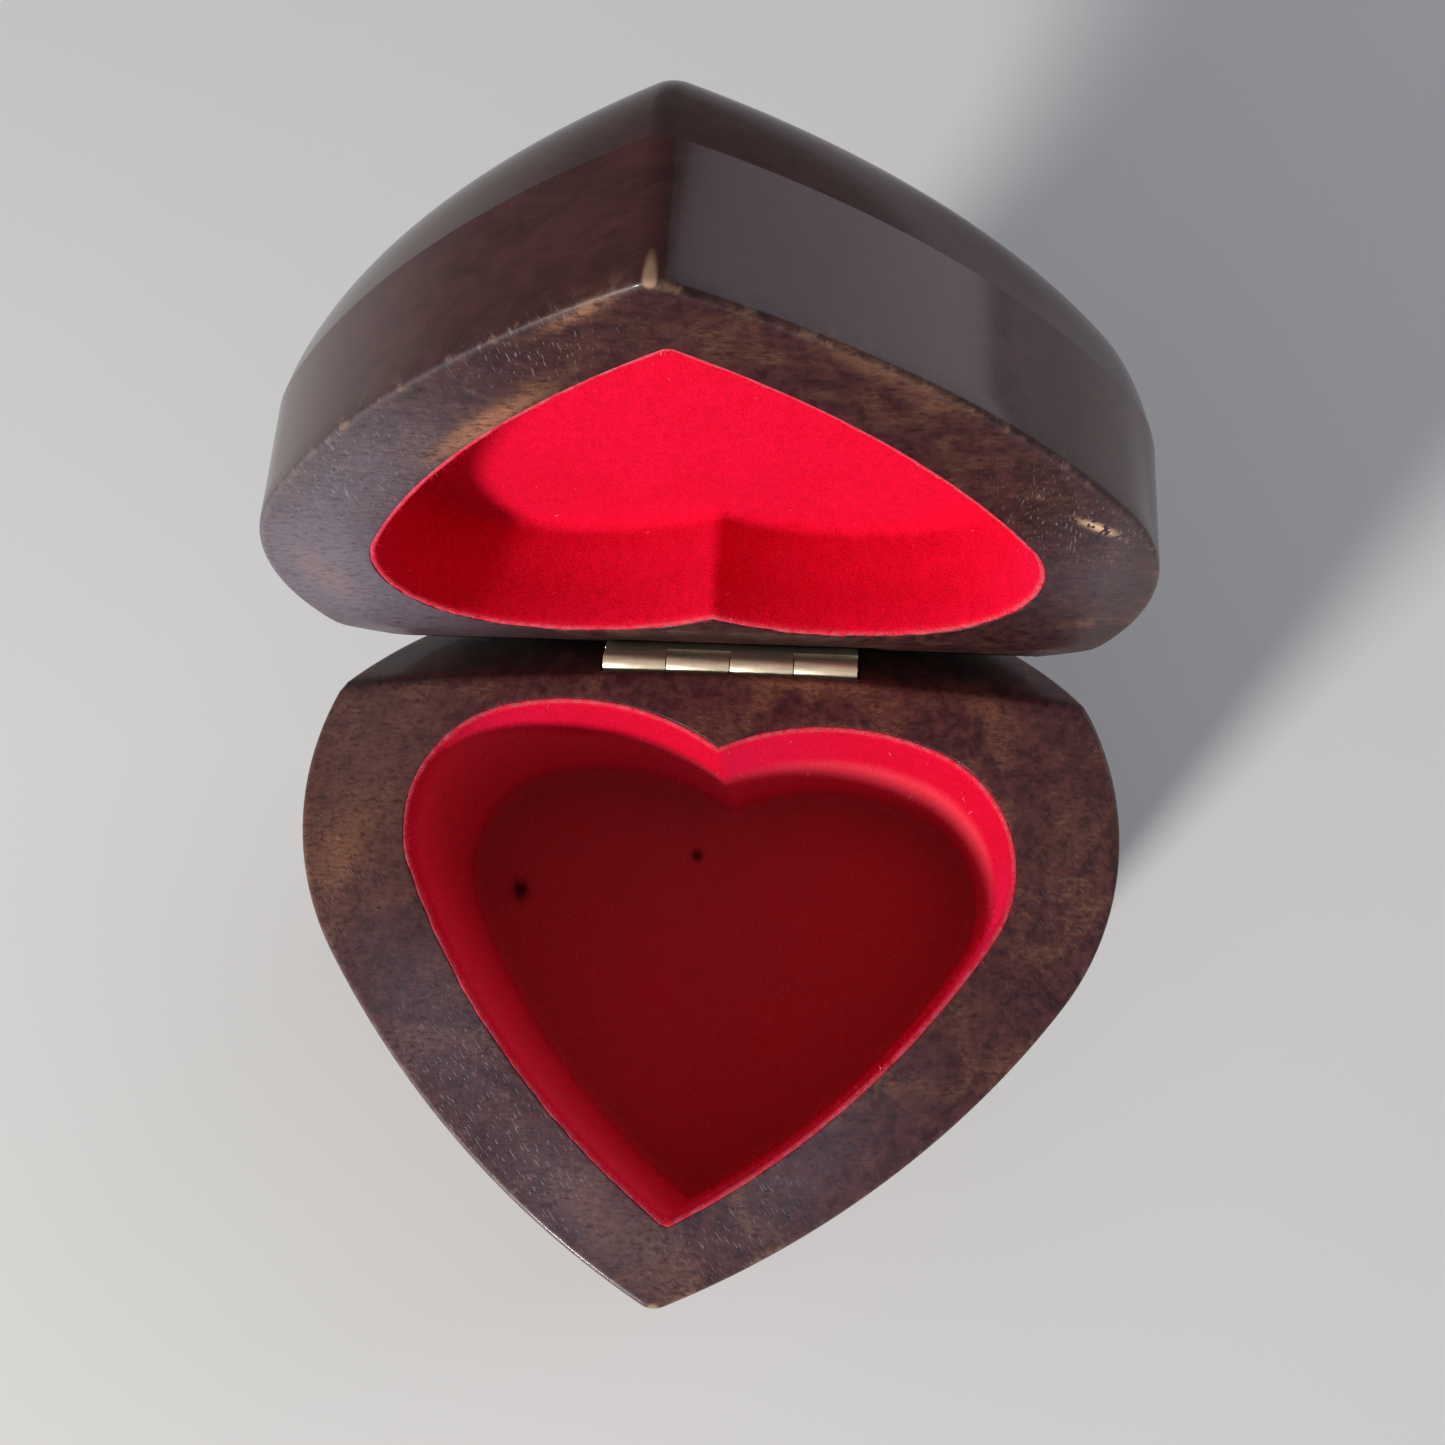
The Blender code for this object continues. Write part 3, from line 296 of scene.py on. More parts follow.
def new_object(name, vertices, faces, placing, material, smooth=True):
    """A mesh object whose vertices are millimetres in the frame `placing`."""
    mesh = bpy.data.meshes.new(name)
    mesh.from_pydata([tuple(float(value) * MM for value in vertex) for vertex in vertices], [], faces)
    work = bmesh.new()
    work.from_mesh(mesh)
    bmesh.ops.recalc_face_normals(work, faces=work.faces)
    work.to_mesh(mesh)
    work.free()
    made = bpy.data.objects.new(name, mesh)
    bpy.context.scene.collection.objects.link(made)
    made.matrix_world = placing
    if material is not None:
        mesh.materials.append(material)
    for face in mesh.polygons:
        face.use_smooth = smooth
    return made


def stack_rings(rings, closed=False, capped=True):
    """Vertices and faces that join rings of equal point count, given as (points, heights)."""
    count = len(rings[0][0])
    vertices = [np.column_stack([points, np.broadcast_to(heights, count)]) for points, heights in rings]
    faces = []
    links = len(rings) if closed else len(rings) - 1
    for level in range(links):
        low = level * count
        high = ((level + 1) % len(rings)) * count
        for step in range(count):
            following = (step + 1) % count
            faces.append((low + step, low + following, high + following, high + step))
    if capped and not closed:
        faces.append(tuple(reversed(range(count))))
        last = (len(rings) - 1) * count
        faces.append(tuple(range(last, last + count)))
    return np.vstack(vertices), faces


def apply_modifiers(made):
    """Bakes an object's modifiers into its mesh."""
    depsgraph = bpy.context.evaluated_depsgraph_get()
    mesh = bpy.data.meshes.new_from_object(made.evaluated_get(depsgraph))
    old = made.data
    made.modifiers.clear()
    made.data = mesh
    bpy.data.meshes.remove(old)


def cut(made, tools, operation="DIFFERENCE"):
    """Applies Booleans with objects that are then removed."""
    for tool in tools:
        modifier = made.modifiers.new(tool.name, "BOOLEAN")
        modifier.operation = operation
        modifier.solver = "EXACT"
        modifier.object = tool
    bpy.context.view_layer.update()
    apply_modifiers(made)
    for tool in tools:
        bpy.data.objects.remove(tool, do_unlink=True)


def bevel_edges(made, width, angle):
    """Rounds the edges where faces meet at more than `angle`."""
    modifier = made.modifiers.new("edges", "BEVEL")
    modifier.width = width * MM
    modifier.segments = 2
    modifier.limit_method = "ANGLE"
    modifier.angle_limit = math.radians(angle)
    modifier.harden_normals = False
    bpy.context.view_layer.update()
    apply_modifiers(made)


def shade_by_angle(made, angle):
    """Smooth shading with sharp edges kept where faces meet at more than `angle`."""
    work = bmesh.new()
    work.from_mesh(made.data)
    limit = math.radians(angle)
    for edge in work.edges:
        edge.smooth = len(edge.link_faces) == 2 and edge.calc_face_angle(0.0) < limit
    for face in work.faces:
        face.smooth = True
    work.to_mesh(made.data)
    work.free()


def block(name, low, high, placing):
    """A box between two corners."""
    corners = [(x, y, z) for x in (low[0], high[0]) for y in (low[1], high[1]) for z in (low[2], high[2])]
    faces = [(0, 1, 3, 2), (4, 6, 7, 5), (0, 4, 5, 1), (2, 3, 7, 6), (0, 2, 6, 4), (1, 5, 7, 3)]
    return new_object(name, corners, faces, placing, None, smooth=False)


def turned_solid(name, profile, steps, placing, material=None, smooth=True):
    """Spins (radius, height) pairs about the frame's Z axis; the first and last lie on the axis."""
    vertices = [(0.0, 0.0, profile[0][1])]
    for radius, height in profile[1:-1]:
        for step in range(steps):
            turn = math.tau * step / steps
            vertices.append((radius * math.cos(turn), radius * math.sin(turn), height))
    vertices.append((0.0, 0.0, profile[-1][1]))
    faces = []
    levels = len(profile) - 2
    for step in range(steps):
        following = (step + 1) % steps
        faces.append((0, 1 + step, 1 + following))
        for level in range(levels - 1):
            low = 1 + level * steps
            faces.append((low + step, low + steps + step, low + steps + following, low + following))
        low = 1 + (levels - 1) * steps
        faces.append((low + step, len(vertices) - 1, low + following))
    return new_object(name, vertices, faces, placing, material, smooth)


def extruded(name, outline, start, end, placing):
    """Extrudes a closed (y, z) outline along X."""
    count = len(outline)
    vertices = [(start, y, z) for y, z in outline] + [(end, y, z) for y, z in outline]
    faces = [tuple(range(count)), tuple(reversed(range(count, 2 * count)))]
    for step in range(count):
        following = (step + 1) % count
        faces.append((step, following, count + following, count + step))
    return new_object(name, vertices, faces, placing, None, smooth=False)


def point_values(mesh, name, values):
    """Stores one number a point for the materials to read."""
    stored = mesh.attributes.get(name) or mesh.attributes.new(name, "FLOAT", "POINT")
    stored.data.foreach_set("value", np.asarray(values, np.float32))


def mesh_points(mesh):
    """The mesh's points in millimetres."""
    found = np.empty(len(mesh.vertices) * 3)
    mesh.vertices.foreach_get("co", found)
    return found.reshape(-1, 3) / MM


def distance_to_loop(points, loop):
    """The distance from each 2-D point to a closed line of points."""
    start = loop
    span = np.roll(loop, -1, axis=0) - loop
    least = np.full(len(points), 1e9)
    for first, way in zip(start, span):
        offset = points - first
        share = np.clip(offset @ way / (way @ way), 0.0, 1.0)
        gap = np.hypot(offset[:, 0] - share * way[0], offset[:, 1] - share * way[1])
        least = np.minimum(least, gap)
    return least


# ---- Materials ----

class Paint:
    """A node material: small calls that add nodes and return the socket to link on."""

    def __init__(self, name):
        self.material = bpy.data.materials.new(name)
        self.material.use_nodes = True
        self.tree = self.material.node_tree
        self.shader = self.tree.nodes["Principled BSDF"]
        self.place = None

    def link(self, value, socket):
        if isinstance(value, bpy.types.NodeSocket):
            self.tree.links.new(value, socket)
        elif isinstance(value, (tuple, list)) and len(value) == 3 and socket.type == "RGBA":
            socket.default_value = (*value, 1.0)
        else:
            socket.default_value = value

    def node(self, kind, output=0, inputs=None, **settings):
        made = self.tree.nodes.new(kind)
        for key, value in settings.items():
            setattr(made, key, value)
        for key, value in (inputs or {}).items():
            self.link(value, made.inputs[key])
        return made.outputs[output]

    def coordinates(self, stretch=(1.0, 1.0, 1.0), turn=0.0):
        """Object coordinates in millimetres, turned about Z by degrees and then stretched."""
        if self.place is None:
            self.place = self.node("ShaderNodeTexCoord", "Object")
        scale = tuple(MM / value for value in stretch)
        turned = (0.0, 0.0, math.radians(turn))
        return self.node("ShaderNodeMapping", vector_type="TEXTURE",
                         inputs={"Vector": self.place, "Rotation": turned, "Scale": scale})

    def noise(self, scale, detail=3.0, roughness=0.55, distortion=0.0, stretch=(1.0, 1.0, 1.0), turn=0.0):
        return self.node("ShaderNodeTexNoise", "Fac", {
            "Vector": self.coordinates(stretch, turn), "Scale": scale, "Detail": detail,
            "Roughness": roughness, "Distortion": distortion})

    def scratches(self, turns, length, width, least):
        """Short straight scratches, in each of several directions."""
        found = None
        for turn in turns:
            field = self.noise(1.0, 0.0, 0.5, 0.0, (1.0 / length, 1.0 / width, 1.0 / length), turn)
            lines = self.ramp(field, least, least + 0.04)
            found = lines if found is None else self.math("MAXIMUM", found, lines)
        return found

    def ramp(self, value, low, high):
        """0 below `low`, 1 above `high`."""
        return self.node("ShaderNodeMapRange", "Result", {
            "Value": value, "From Min": low, "From Max": high}, interpolation_type="SMOOTHSTEP")

    def math(self, operation, first, second=0.0, clamp=False):
        return self.node("ShaderNodeMath", 0, {0: first, 1: second},
                         operation=operation, use_clamp=clamp)

    def times(self, first, second):
        return self.math("MULTIPLY", first, second)

    def plus(self, first, second, clamp=False):
        return self.math("ADD", first, second, clamp)

    def mix(self, share, first, second):
        return self.node("ShaderNodeMixRGB", 0, {"Fac": share, "Color1": first, "Color2": second})

    def value(self, name):
        """A number stored on the mesh's points."""
        return self.node("ShaderNodeAttribute", "Fac", attribute_name=name)

    def bump(self, height, strength, distance):
        return self.node("ShaderNodeBump", 0, {
            "Height": height, "Strength": strength, "Distance": distance * MM})

    def set(self, **values):
        """Links or sets the shader's sockets, and gives back the finished material."""
        for key, value in values.items():
            self.link(value, self.shader.inputs[key.replace("_", " ")])
        return self.material


def worn_colour(paint, colour, flecks):
    """The stain rubbed thin in patches, broken along the edge and tip, and struck off at the chip."""
    rubbed = paint.times(paint.value("patch"), paint.ramp(flecks, 0.25, 0.6))
    colour = paint.mix(rubbed, colour, (0.27, 0.125, 0.072))
    worn = paint.times(paint.value("edge_wear"), paint.ramp(paint.noise(0.5, 4.0, 0.7), 0.52, 0.64))
    worn = paint.math("MAXIMUM", worn, paint.ramp(paint.value("tip_wear"), 0.25, 0.75))
    colour = paint.mix(worn, colour, (0.30, 0.18, 0.11))
    strokes = paint.scratches((35.0, 20.0), 1.2, 0.3, 0.5)
    chip = paint.times(paint.value("chip"), strokes)
    return paint.mix(chip, colour, (0.62, 0.42, 0.26))


def scuff_marks(paint):
    """Fine pale scratches and specks where the rim is scuffed."""
    lines = paint.scratches((-52.0,), 0.9, 0.12, 0.71)
    specks = paint.ramp(paint.noise(4.2, 2.0, 0.7), 0.66, 0.72)
    return paint.times(paint.math("MAXIMUM", lines, specks), paint.value("scuffed"))


def stained_wood(name, seed_shift, tone):
    """Dark stain over close-grained wood, glossy on the sides and rubbed satin on the sawn rims, with a
    painted bluish sheen on parts of the rims.
    """
    paint = Paint(name)
    rim = paint.value("rim")
    grain = paint.noise(0.55 + seed_shift, 6.0, 0.62, 0.6, (0.12, 1.0, 0.8))
    fine_grain = paint.noise(3.2, 4.0, 0.6, 0.2, (0.1, 1.0, 1.0))
    cloud = paint.noise(0.16 + seed_shift, 4.0, 0.6, 0.8)
    mottle = paint.noise(0.9, 5.0, 0.65, 0.4)
    flecks = paint.noise(2.6, 3.0, 0.7, 0.3, (0.5, 1.0, 1.0))

    def toned(*colour):
        return tuple(tone * value for value in colour)

    side = paint.mix(paint.ramp(grain, 0.32, 0.7), (0.034, 0.0085, 0.007), (0.070, 0.021, 0.017))
    side = paint.mix(paint.ramp(fine_grain, 0.35, 0.75), side, (0.050, 0.015, 0.013))
    top = paint.mix(paint.ramp(mottle, 0.3, 0.72), toned(0.030, 0.010, 0.014), toned(0.100, 0.034, 0.032))
    brown = paint.times(paint.ramp(cloud, 0.46, 0.7), paint.ramp(flecks, 0.3, 0.7))
    top = paint.mix(paint.times(brown, 0.75), top, toned(0.215, 0.100, 0.055))
    # Painted sheen: a bluish-grey reflection painted onto parts of the rim
    painted_sheen = paint.times(paint.value("painted_sheen"), paint.ramp(flecks, 0.1, 0.6))
    top = paint.mix(painted_sheen, top, (0.150, 0.130, 0.165))
    streak = paint.times(paint.ramp(fine_grain, 0.52, 0.8), 0.35)
    top = paint.mix(streak, top, toned(0.040, 0.014, 0.015))
    colour = paint.mix(rim, side, top)

    colour = worn_colour(paint, colour, flecks)
    marks = scuff_marks(paint)
    colour = paint.mix(paint.times(marks, 0.6), colour, (0.36, 0.35, 0.40))

    satin = paint.plus(0.32, paint.times(mottle, 0.22))
    gloss = paint.plus(0.12, paint.times(grain, 0.12))
    difference = paint.math("SUBTRACT", satin, gloss)
    rough = paint.plus(gloss, paint.times(rim, difference))
    rough = paint.plus(rough, paint.times(marks, 0.2), clamp=True)
    relief = paint.plus(paint.times(flecks, 0.5), paint.times(fine_grain, 0.5))
    relief = paint.math("SUBTRACT", relief, paint.times(marks, 0.4))
    depth = paint.plus(0.08, paint.times(rim, 0.27))
    normal = paint.bump(relief, depth, 0.12)
    return paint.set(Base_Color=colour, Roughness=rough, Normal=normal, IOR=1.45, Specular_IOR_Level=0.29,
                     Coat_Weight=0.12, Coat_Roughness=0.08)


def flock_cloth(name):
    """Red flock: short fibres standing on the lining, brighter where they catch the light, with painted shade
    on the base compartment's floor and on its walls below the sunlit band.
    """
    paint = Paint(name)
    nap = paint.noise(1.1, 4.0, 0.6, 0.3, (1.0, 0.5, 1.0))
    tuft = paint.noise(5.5, 3.0, 0.7)
    cloud = paint.noise(0.12, 3.0, 0.5)
    colour = paint.mix(paint.ramp(tuft, 0.3, 0.7), (0.52, 0.0, 0.014), (0.86, 0.002, 0.034))
    colour = paint.mix(paint.times(paint.ramp(nap, 0.35, 0.7), 0.35), colour, (0.92, 0.004, 0.048))
    colour = paint.mix(paint.times(paint.ramp(cloud, 0.4, 0.7), 0.2), colour, (0.6, 0.0, 0.014))
    # Painted shade: the compartment floor darker and greyer where it lies in shadow
    floor_shade = paint.times(paint.value("floor_shade"), paint.ramp(cloud, -0.2, 0.5))
    colour = paint.mix(paint.times(floor_shade, 0.75), colour, paint.mix(
        paint.ramp(tuft, 0.3, 0.7), (0.36, 0.050, 0.062), (0.56, 0.072, 0.092)))
    # Painted shade: the walls below the sunlit band, on the side away from the light, paler and greyer
    colour = paint.mix(paint.times(paint.value("shaded"), 0.8), colour, (0.90, 0.060, 0.095))
    stain = paint.times(paint.value("stain"), paint.ramp(tuft, 0.15, 0.5))
    colour = paint.mix(stain, colour, (0.012, 0.003, 0.004))
    glue = paint.times(paint.value("glue"), paint.ramp(paint.noise(1.7, 4.0, 0.7), 0.2, 0.8))
    colour = paint.mix(glue, colour, (0.56, 0.13, 0.17))
    relief = paint.plus(paint.times(tuft, 0.6), paint.times(nap, 0.4))
    normal = paint.bump(relief, 0.85, 0.22)
    rough = paint.plus(0.82, paint.times(tuft, 0.16))
    return paint.set(Base_Color=colour, Roughness=rough, Normal=normal, Sheen_Weight=0.5,
                     Sheen_Roughness=0.4, Sheen_Tint=(1.0, 0.03, 0.2), Specular_IOR_Level=0.08)


def flock_fibre(name):
    """The loose fibres that stand off the lining, with the odd pale one."""
    paint = Paint(name)
    shade = paint.noise(2.4, 2.0, 0.6)
    colour = paint.mix(paint.ramp(shade, 0.3, 0.7), (0.62, 0.0, 0.016), (0.97, 0.004, 0.04))
    colour = paint.mix(paint.value("pale"), colour, (0.75, 0.42, 0.42))
    rough = paint.plus(0.6, paint.times(shade, 0.25))
    return paint.set(Base_Color=colour, Roughness=rough, Sheen_Weight=0.3, Sheen_Tint=(1.0, 0.1, 0.15),
                     Specular_IOR_Level=0.15)


def brushed_metal(name, bright, dull, roughness, tarnish=0.35, metallic=1.0):
    """Metal with fine drawn lines, a little tarnish and scattered scratches."""
    paint = Paint(name)
    lines = paint.noise(6.0, 4.0, 0.65, 0.0, (0.05, 1.0, 1.0))
    cloud = paint.noise(0.8, 4.0, 0.6, 0.5)
    spots = paint.noise(3.5, 3.0, 0.7)
    dark = paint.times(paint.ramp(cloud, 0.42, 0.72), tarnish)
    colour = paint.mix(paint.ramp(lines, 0.3, 0.7), dull, bright)
    colour = paint.mix(dark, colour, tuple(value * 0.45 for value in dull))
    rough = paint.plus(roughness, paint.times(lines, 0.12))
    rough = paint.plus(rough, paint.times(paint.ramp(spots, 0.55, 0.75), 0.15))
    scratch = paint.scratches((8.0, 62.0), 4.0, 0.12, 0.7)
    relief = paint.math("SUBTRACT", paint.times(lines, 0.5), paint.times(scratch, 0.5))
    normal = paint.bump(relief, 0.25, 0.05)
    return paint.set(Base_Color=colour, Metallic=metallic, Roughness=rough, Normal=normal)


def pale_plywood(name):
    """Thin birch plywood, sanded and left bare."""
    paint = Paint(name)
    rings = paint.noise(0.25, 6.0, 0.6, 1.2, (0.08, 1.0, 1.0))
    fine = paint.noise(2.5, 4.0, 0.6, 0.2, (0.06, 1.0, 1.0))
    colour = paint.mix(paint.ramp(rings, 0.35, 0.65), (0.42, 0.26, 0.14), (0.60, 0.42, 0.25))
    colour = paint.mix(paint.times(paint.ramp(fine, 0.5, 0.75), 0.5), colour, (0.33, 0.19, 0.10))
    ply = paint.math("FRACT", paint.times(paint.node(
        "ShaderNodeSeparateXYZ", "Z", {"Vector": paint.coordinates()}), 1.2))
    colour = paint.mix(paint.times(paint.ramp(ply, 0.55, 0.6), 0.35), colour, (0.30, 0.17, 0.09))
    rough = paint.plus(0.6, paint.times(fine, 0.25))
    return paint.set(Base_Color=colour, Roughness=rough, Normal=paint.bump(fine, 0.3, 0.1))


def moulded_plastic(name):
    """Off-white nylon with a fine moulded grain."""
    paint = Paint(name)
    cloud = paint.noise(0.6, 3.0, 0.5)
    grain = paint.noise(8.0, 2.0, 0.6)
    colour = paint.mix(paint.ramp(cloud, 0.3, 0.7), (0.80, 0.78, 0.72), (0.88, 0.87, 0.83))
    rough = paint.plus(0.36, paint.times(grain, 0.14))
    return paint.set(Base_Color=colour, Roughness=rough, Normal=paint.bump(grain, 0.15, 0.03),
                     Subsurface_Weight=0.08)


# ---- Wooden shells ----

def rim_rings(outer, cavity, top, lift):
    """Rings over a rim: rounded outer edge, flat, rounded cavity edge. `lift` is 1 upward or -1 downward."""
    rings = []
    for step in range(OUTER_ROUND_STEPS + 1):
        turn = math.pi / 2 * step / OUTER_ROUND_STEPS
        points = outer(EDGE_ROUND * (1.0 - math.cos(turn)))
        rings.append((points, top(points) - lift * EDGE_ROUND * (1.0 - math.sin(turn))))
    outside = outer(EDGE_ROUND)
    inside = cavity(-CAVITY_EDGE_ROUND)
    for step in range(1, RIM_RINGS):
        share = step / RIM_RINGS
        points = outside * (1.0 - share) + inside * share
        rings.append((points, top(points)))
    for step in range(CAVITY_ROUND_STEPS + 1):
        turn = math.pi / 2 * step / CAVITY_ROUND_STEPS
        points = cavity(-CAVITY_EDGE_ROUND * (1.0 - math.sin(turn)))
        rings.append((points, top(points) - lift * CAVITY_EDGE_ROUND * (1.0 - math.cos(turn))))
    return rings


def paint_zones(made, outer, top, lift, marks):
    """Stores where the rim, its worn edge, the worn tip and the named marks (the painted sheen among them)
    are, for the stain.
    """
    mesh = made.data
    points = mesh_points(mesh)
    flat = points[:, :2]
    below = lift * (top(flat) - points[:, 2])
    outline_points = outer(0.0)
    outside = distance_to_loop(flat, outline_points)
    corner = outline_points[np.argmin(outline_points[:, 1])]
    rim = 1.0 - np.clip((below - RIM_DEPTH) / RIM_FADE, 0.0, 1.0)
    edge = np.exp(-(outside / EDGE_WEAR_REACH) ** 2)
    edge *= np.exp(-(np.maximum(below, 0.0) / EDGE_WEAR_DEPTH) ** 2)
    tip = np.exp(-(np.hypot(flat[:, 0] - corner[0], flat[:, 1] - corner[1]) / TIP_WEAR_REACH) ** 2)
    tip *= np.exp(-(below / TIP_WEAR_LENGTH) ** 2)
    point_values(mesh, "rim", rim)
    point_values(mesh, "edge_wear", EDGE_WEAR * edge)
    point_values(mesh, "tip_wear", tip)
    for name, spots in marks.items():
        total = np.zeros(len(points))
        for x, y, long, short, turn, strength in spots:
            angle = math.radians(turn)
            along = (flat[:, 0] - x) * math.cos(angle) + (flat[:, 1] - y) * math.sin(angle)
            across = (flat[:, 1] - y) * math.cos(angle) - (flat[:, 0] - x) * math.sin(angle)
            total += strength * np.exp(-(along / long) ** 2 - (across / short) ** 2)
        point_values(mesh, name, np.clip(total, 0.0, 1.0) * rim)


def plain_pin(radius, half):
    """The profile of a plain round pin about its middle."""
    return [(0.0, half), (radius, half), (radius, -half), (0.0, -half)]


def pocket_tools(side, placing, near):
    """Cutters for one leaf's pocket and its screw holes."""
    low, high = sorted((side * POCKET_DEPTH, -side * POCKET_MOUTH))
    tools = [block("pocket", (-POCKET_HALF, near, low), (POCKET_HALF, POCKET_FAR, high), placing)]
    for x in (-LEAF_SCREW_X, LEAF_SCREW_X):
        spot = placing @ Matrix.Translation((x * MM, LEAF_SCREW_REACH * MM, side * PILOT_MIDDLE * MM))
        tools.append(turned_solid("pilot", plain_pin(PILOT_RADIUS, PILOT_HALF), 20, spot, smooth=False))
    return tools


def build_base_wood(material):
    """The base: outer wall, rim, compartment, the movement's chamber and the panel's recess."""
    wall_top = base_top(base_outer(0.0)) - EDGE_ROUND
    rings = [(base_outer(inset), height) for inset, height in FOOT_PROFILE]
    for step in range(1, BASE_WALL_STEPS):
        rings.append((base_outer(0.0), FOOT_TOP + (wall_top - FOOT_TOP) * step / BASE_WALL_STEPS))
    rings += rim_rings(base_outer, base_cavity, base_top, 1.0)
    rings.append((base_cavity(0.0), BASE_HEIGHT - BASE_CAVITY_RING))
    rings.append((base_cavity(0.0), CAVITY_STEP))
    rings.append((base_cavity(-CHAMBER_GROWTH), CAVITY_STEP))
    rings.append((base_cavity(-CHAMBER_GROWTH), PANEL_SEAT))
    rings.append((base_outer(RECESS_INSET), PANEL_SEAT))
    rings.append((base_outer(RECESS_INSET), 0.0))
    vertices, faces = stack_rings(rings, closed=True)
    made = new_object("base_wood", vertices, faces, box_frame, material)
    notch_spot = axis_frame @ leaf_shift @ Matrix.Rotation(math.radians(90.0), 4, "Y")
    notch = plain_pin(NOTCH_RADIUS, POCKET_HALF)
    tools = [turned_solid("notch", notch, 40, notch_spot, smooth=False)]
    tools += pocket_tools(-1, base_leaf_frame, BASE_POCKET_NEAR)
    cut(made, tools)
    shade_by_angle(made, 40.0)
    paint_zones(made, base_outer, base_top, 1.0, BASE_MARKS)
    finish_piece(made, "base", "dark_wood", "base_shell")


def shoulder_sections():
    """Insets and heights up the lid's rolled shoulder, on one cubic curve."""
    pulls = [np.array(point) for point in SHOULDER_PULL]
    sections = []
    for step in range(SHOULDER_STEPS_UP + 1):
        share = step / SHOULDER_STEPS_UP
        rest = 1.0 - share
        weights = (rest ** 3, 3 * share * rest ** 2, 3 * share ** 2 * rest, share ** 3)
        sections.append(sum(weight * pull for weight, pull in zip(weights, pulls)))
    return sections


def build_lid_wood(material):
    """The lid: its hollow, rim, outer wall, rolled shoulder and top, with a crease under the shoulder."""
    rings = [(lid_cavity(0.0), LID_CEILING), (lid_cavity(0.0), LID_RIM + LID_CAVITY_RING)]
    rings += list(reversed(rim_rings(lid_outer, lid_cavity, lid_underside, -1.0)))
    wall_low = lid_underside(lid_outer(0.0)) + EDGE_ROUND
    for step in range(1, LID_WALL_STEPS):
        rings.append((lid_outer(0.0), wall_low + (LID_WALL_TOP - wall_low) * step / LID_WALL_STEPS))
    rings += [(lid_outer(inset), height) for inset, height in shoulder_sections()]
    vertices, faces = stack_rings(rings, capped=False)
    vertices, faces = cap_with_rings(vertices, faces, lid_cavity(0.0), 0, LID_CEILING, LID_CEILING_RINGS)
    top_inset, top_height = shoulder_sections()[-1]
    top_ring = lid_outer(top_inset)
    start = (len(rings) - 1) * len(top_ring)
    vertices, faces = cap_with_rings(vertices, faces, top_ring, start, top_height, LID_TOP_RINGS)
    made = new_object("lid_wood", vertices, faces, lid_frame, material)
    cut(made, pocket_tools(1, lid_leaf_frame, LID_POCKET_NEAR))
    shade_by_angle(made, 40.0)
    heights = mesh_points(made.data)[:, 2]
    for edge in made.data.edges:
        if all(abs(heights[corner] - LID_WALL_TOP) < 0.01 for corner in edge.vertices):
            edge.use_edge_sharp = True
    paint_zones(made, lid_outer, lid_underside, -1.0, LID_MARKS)
    finish_piece(made, "lid", "dark_wood", "lid_shell")


def cap_with_rings(vertices, faces, ring, start, height, steps):
    """Closes a ring of the mesh with smaller rings towards the heart's middle."""
    count = len(ring)
    middle = np.array(HEART_MIDDLE)
    previous = start
    vertices = [vertices]
    size = len(vertices[0])
    for step in range(1, steps):
        points = middle + (ring - middle) * (1.0 - step / steps)
        vertices.append(np.column_stack([points, np.full(count, height)]))
        for index in range(count):
            following = (index + 1) % count
            faces.append((previous + index, previous + following, size + following, size + index))
        previous = size
        size += count
    vertices.append(np.array([[middle[0], middle[1], height]]))
    for index in range(count):
        faces.append((previous + index, previous + (index + 1) % count, size))
    return np.vstack(vertices), faces


def finish_piece(made, body, slot, *nodes):
    """Bakes the piece's placing into its mesh, attaches it to its body and hides the nodes it stands for;
    `slot` is not used.
    """
    made.data.transform(made.matrix_world)
    made.matrix_world = Matrix.Identity(4)
    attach(made, body)
    if nodes:
        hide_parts(*nodes)


# ---- Flock ----

def ragged(points, size, amount, seed):
    """A slow random offset for each point, always the same for the same seed."""
    shift = Vector((seed * 17.3, seed * 5.1, seed * 9.7))
    return np.array([amount * noise.noise(Vector((x / size, y / size, 0.0)) + shift) for x, y in points])


def build_lining(name, placing, cavity, top, lift, floor, material, seed):
    """A cup of flocked card: rolled upper edge, wall, softened corner and floor."""
    edge = cavity(0.02)
    uneven = ragged(edge, 1.6, 0.10, seed) + ragged(edge, 0.5, 0.07, seed + 1)
    rings = []
    for inset, drop in LINING_EDGE:
        points = cavity(inset)
        rings.append((points, top(points) - lift * (drop + uneven * (1.0 if drop < 0.42 else 0.0))))
    start = top(cavity(LINING_INSET)) - lift * LINING_START
    foot = floor + lift * LINING_CORNER
    for step in range(LINING_LEVELS + 1):
        share = step / LINING_LEVELS
        points = cavity(LINING_INSET + LINING_WAVE * math.sin(share * 9.0))
        wave = ragged(points + share * 20.0, 2.4, LINING_WAVE, seed + 2)
        wall = points * (1.0 + wave[:, None] * 0.02)
        rings.append((wall, start + (foot - start) * share))
    for step in range(1, LINING_CORNER_STEPS + 1):
        turn = math.pi / 2 * step / LINING_CORNER_STEPS
        points = cavity(LINING_INSET + LINING_CORNER * (1.0 - math.cos(turn)))
        rings.append((points, floor + lift * LINING_CORNER * (1.0 - math.sin(turn))))
    vertices, faces = stack_rings(rings, capped=False)
    last = cavity(LINING_INSET + LINING_CORNER)
    first = (len(rings) - 1) * len(last)
    vertices, faces = cap_with_rings(vertices, faces, last, first, floor, LINING_FLOOR_RINGS)
    return new_object(name, vertices, faces, placing, material)


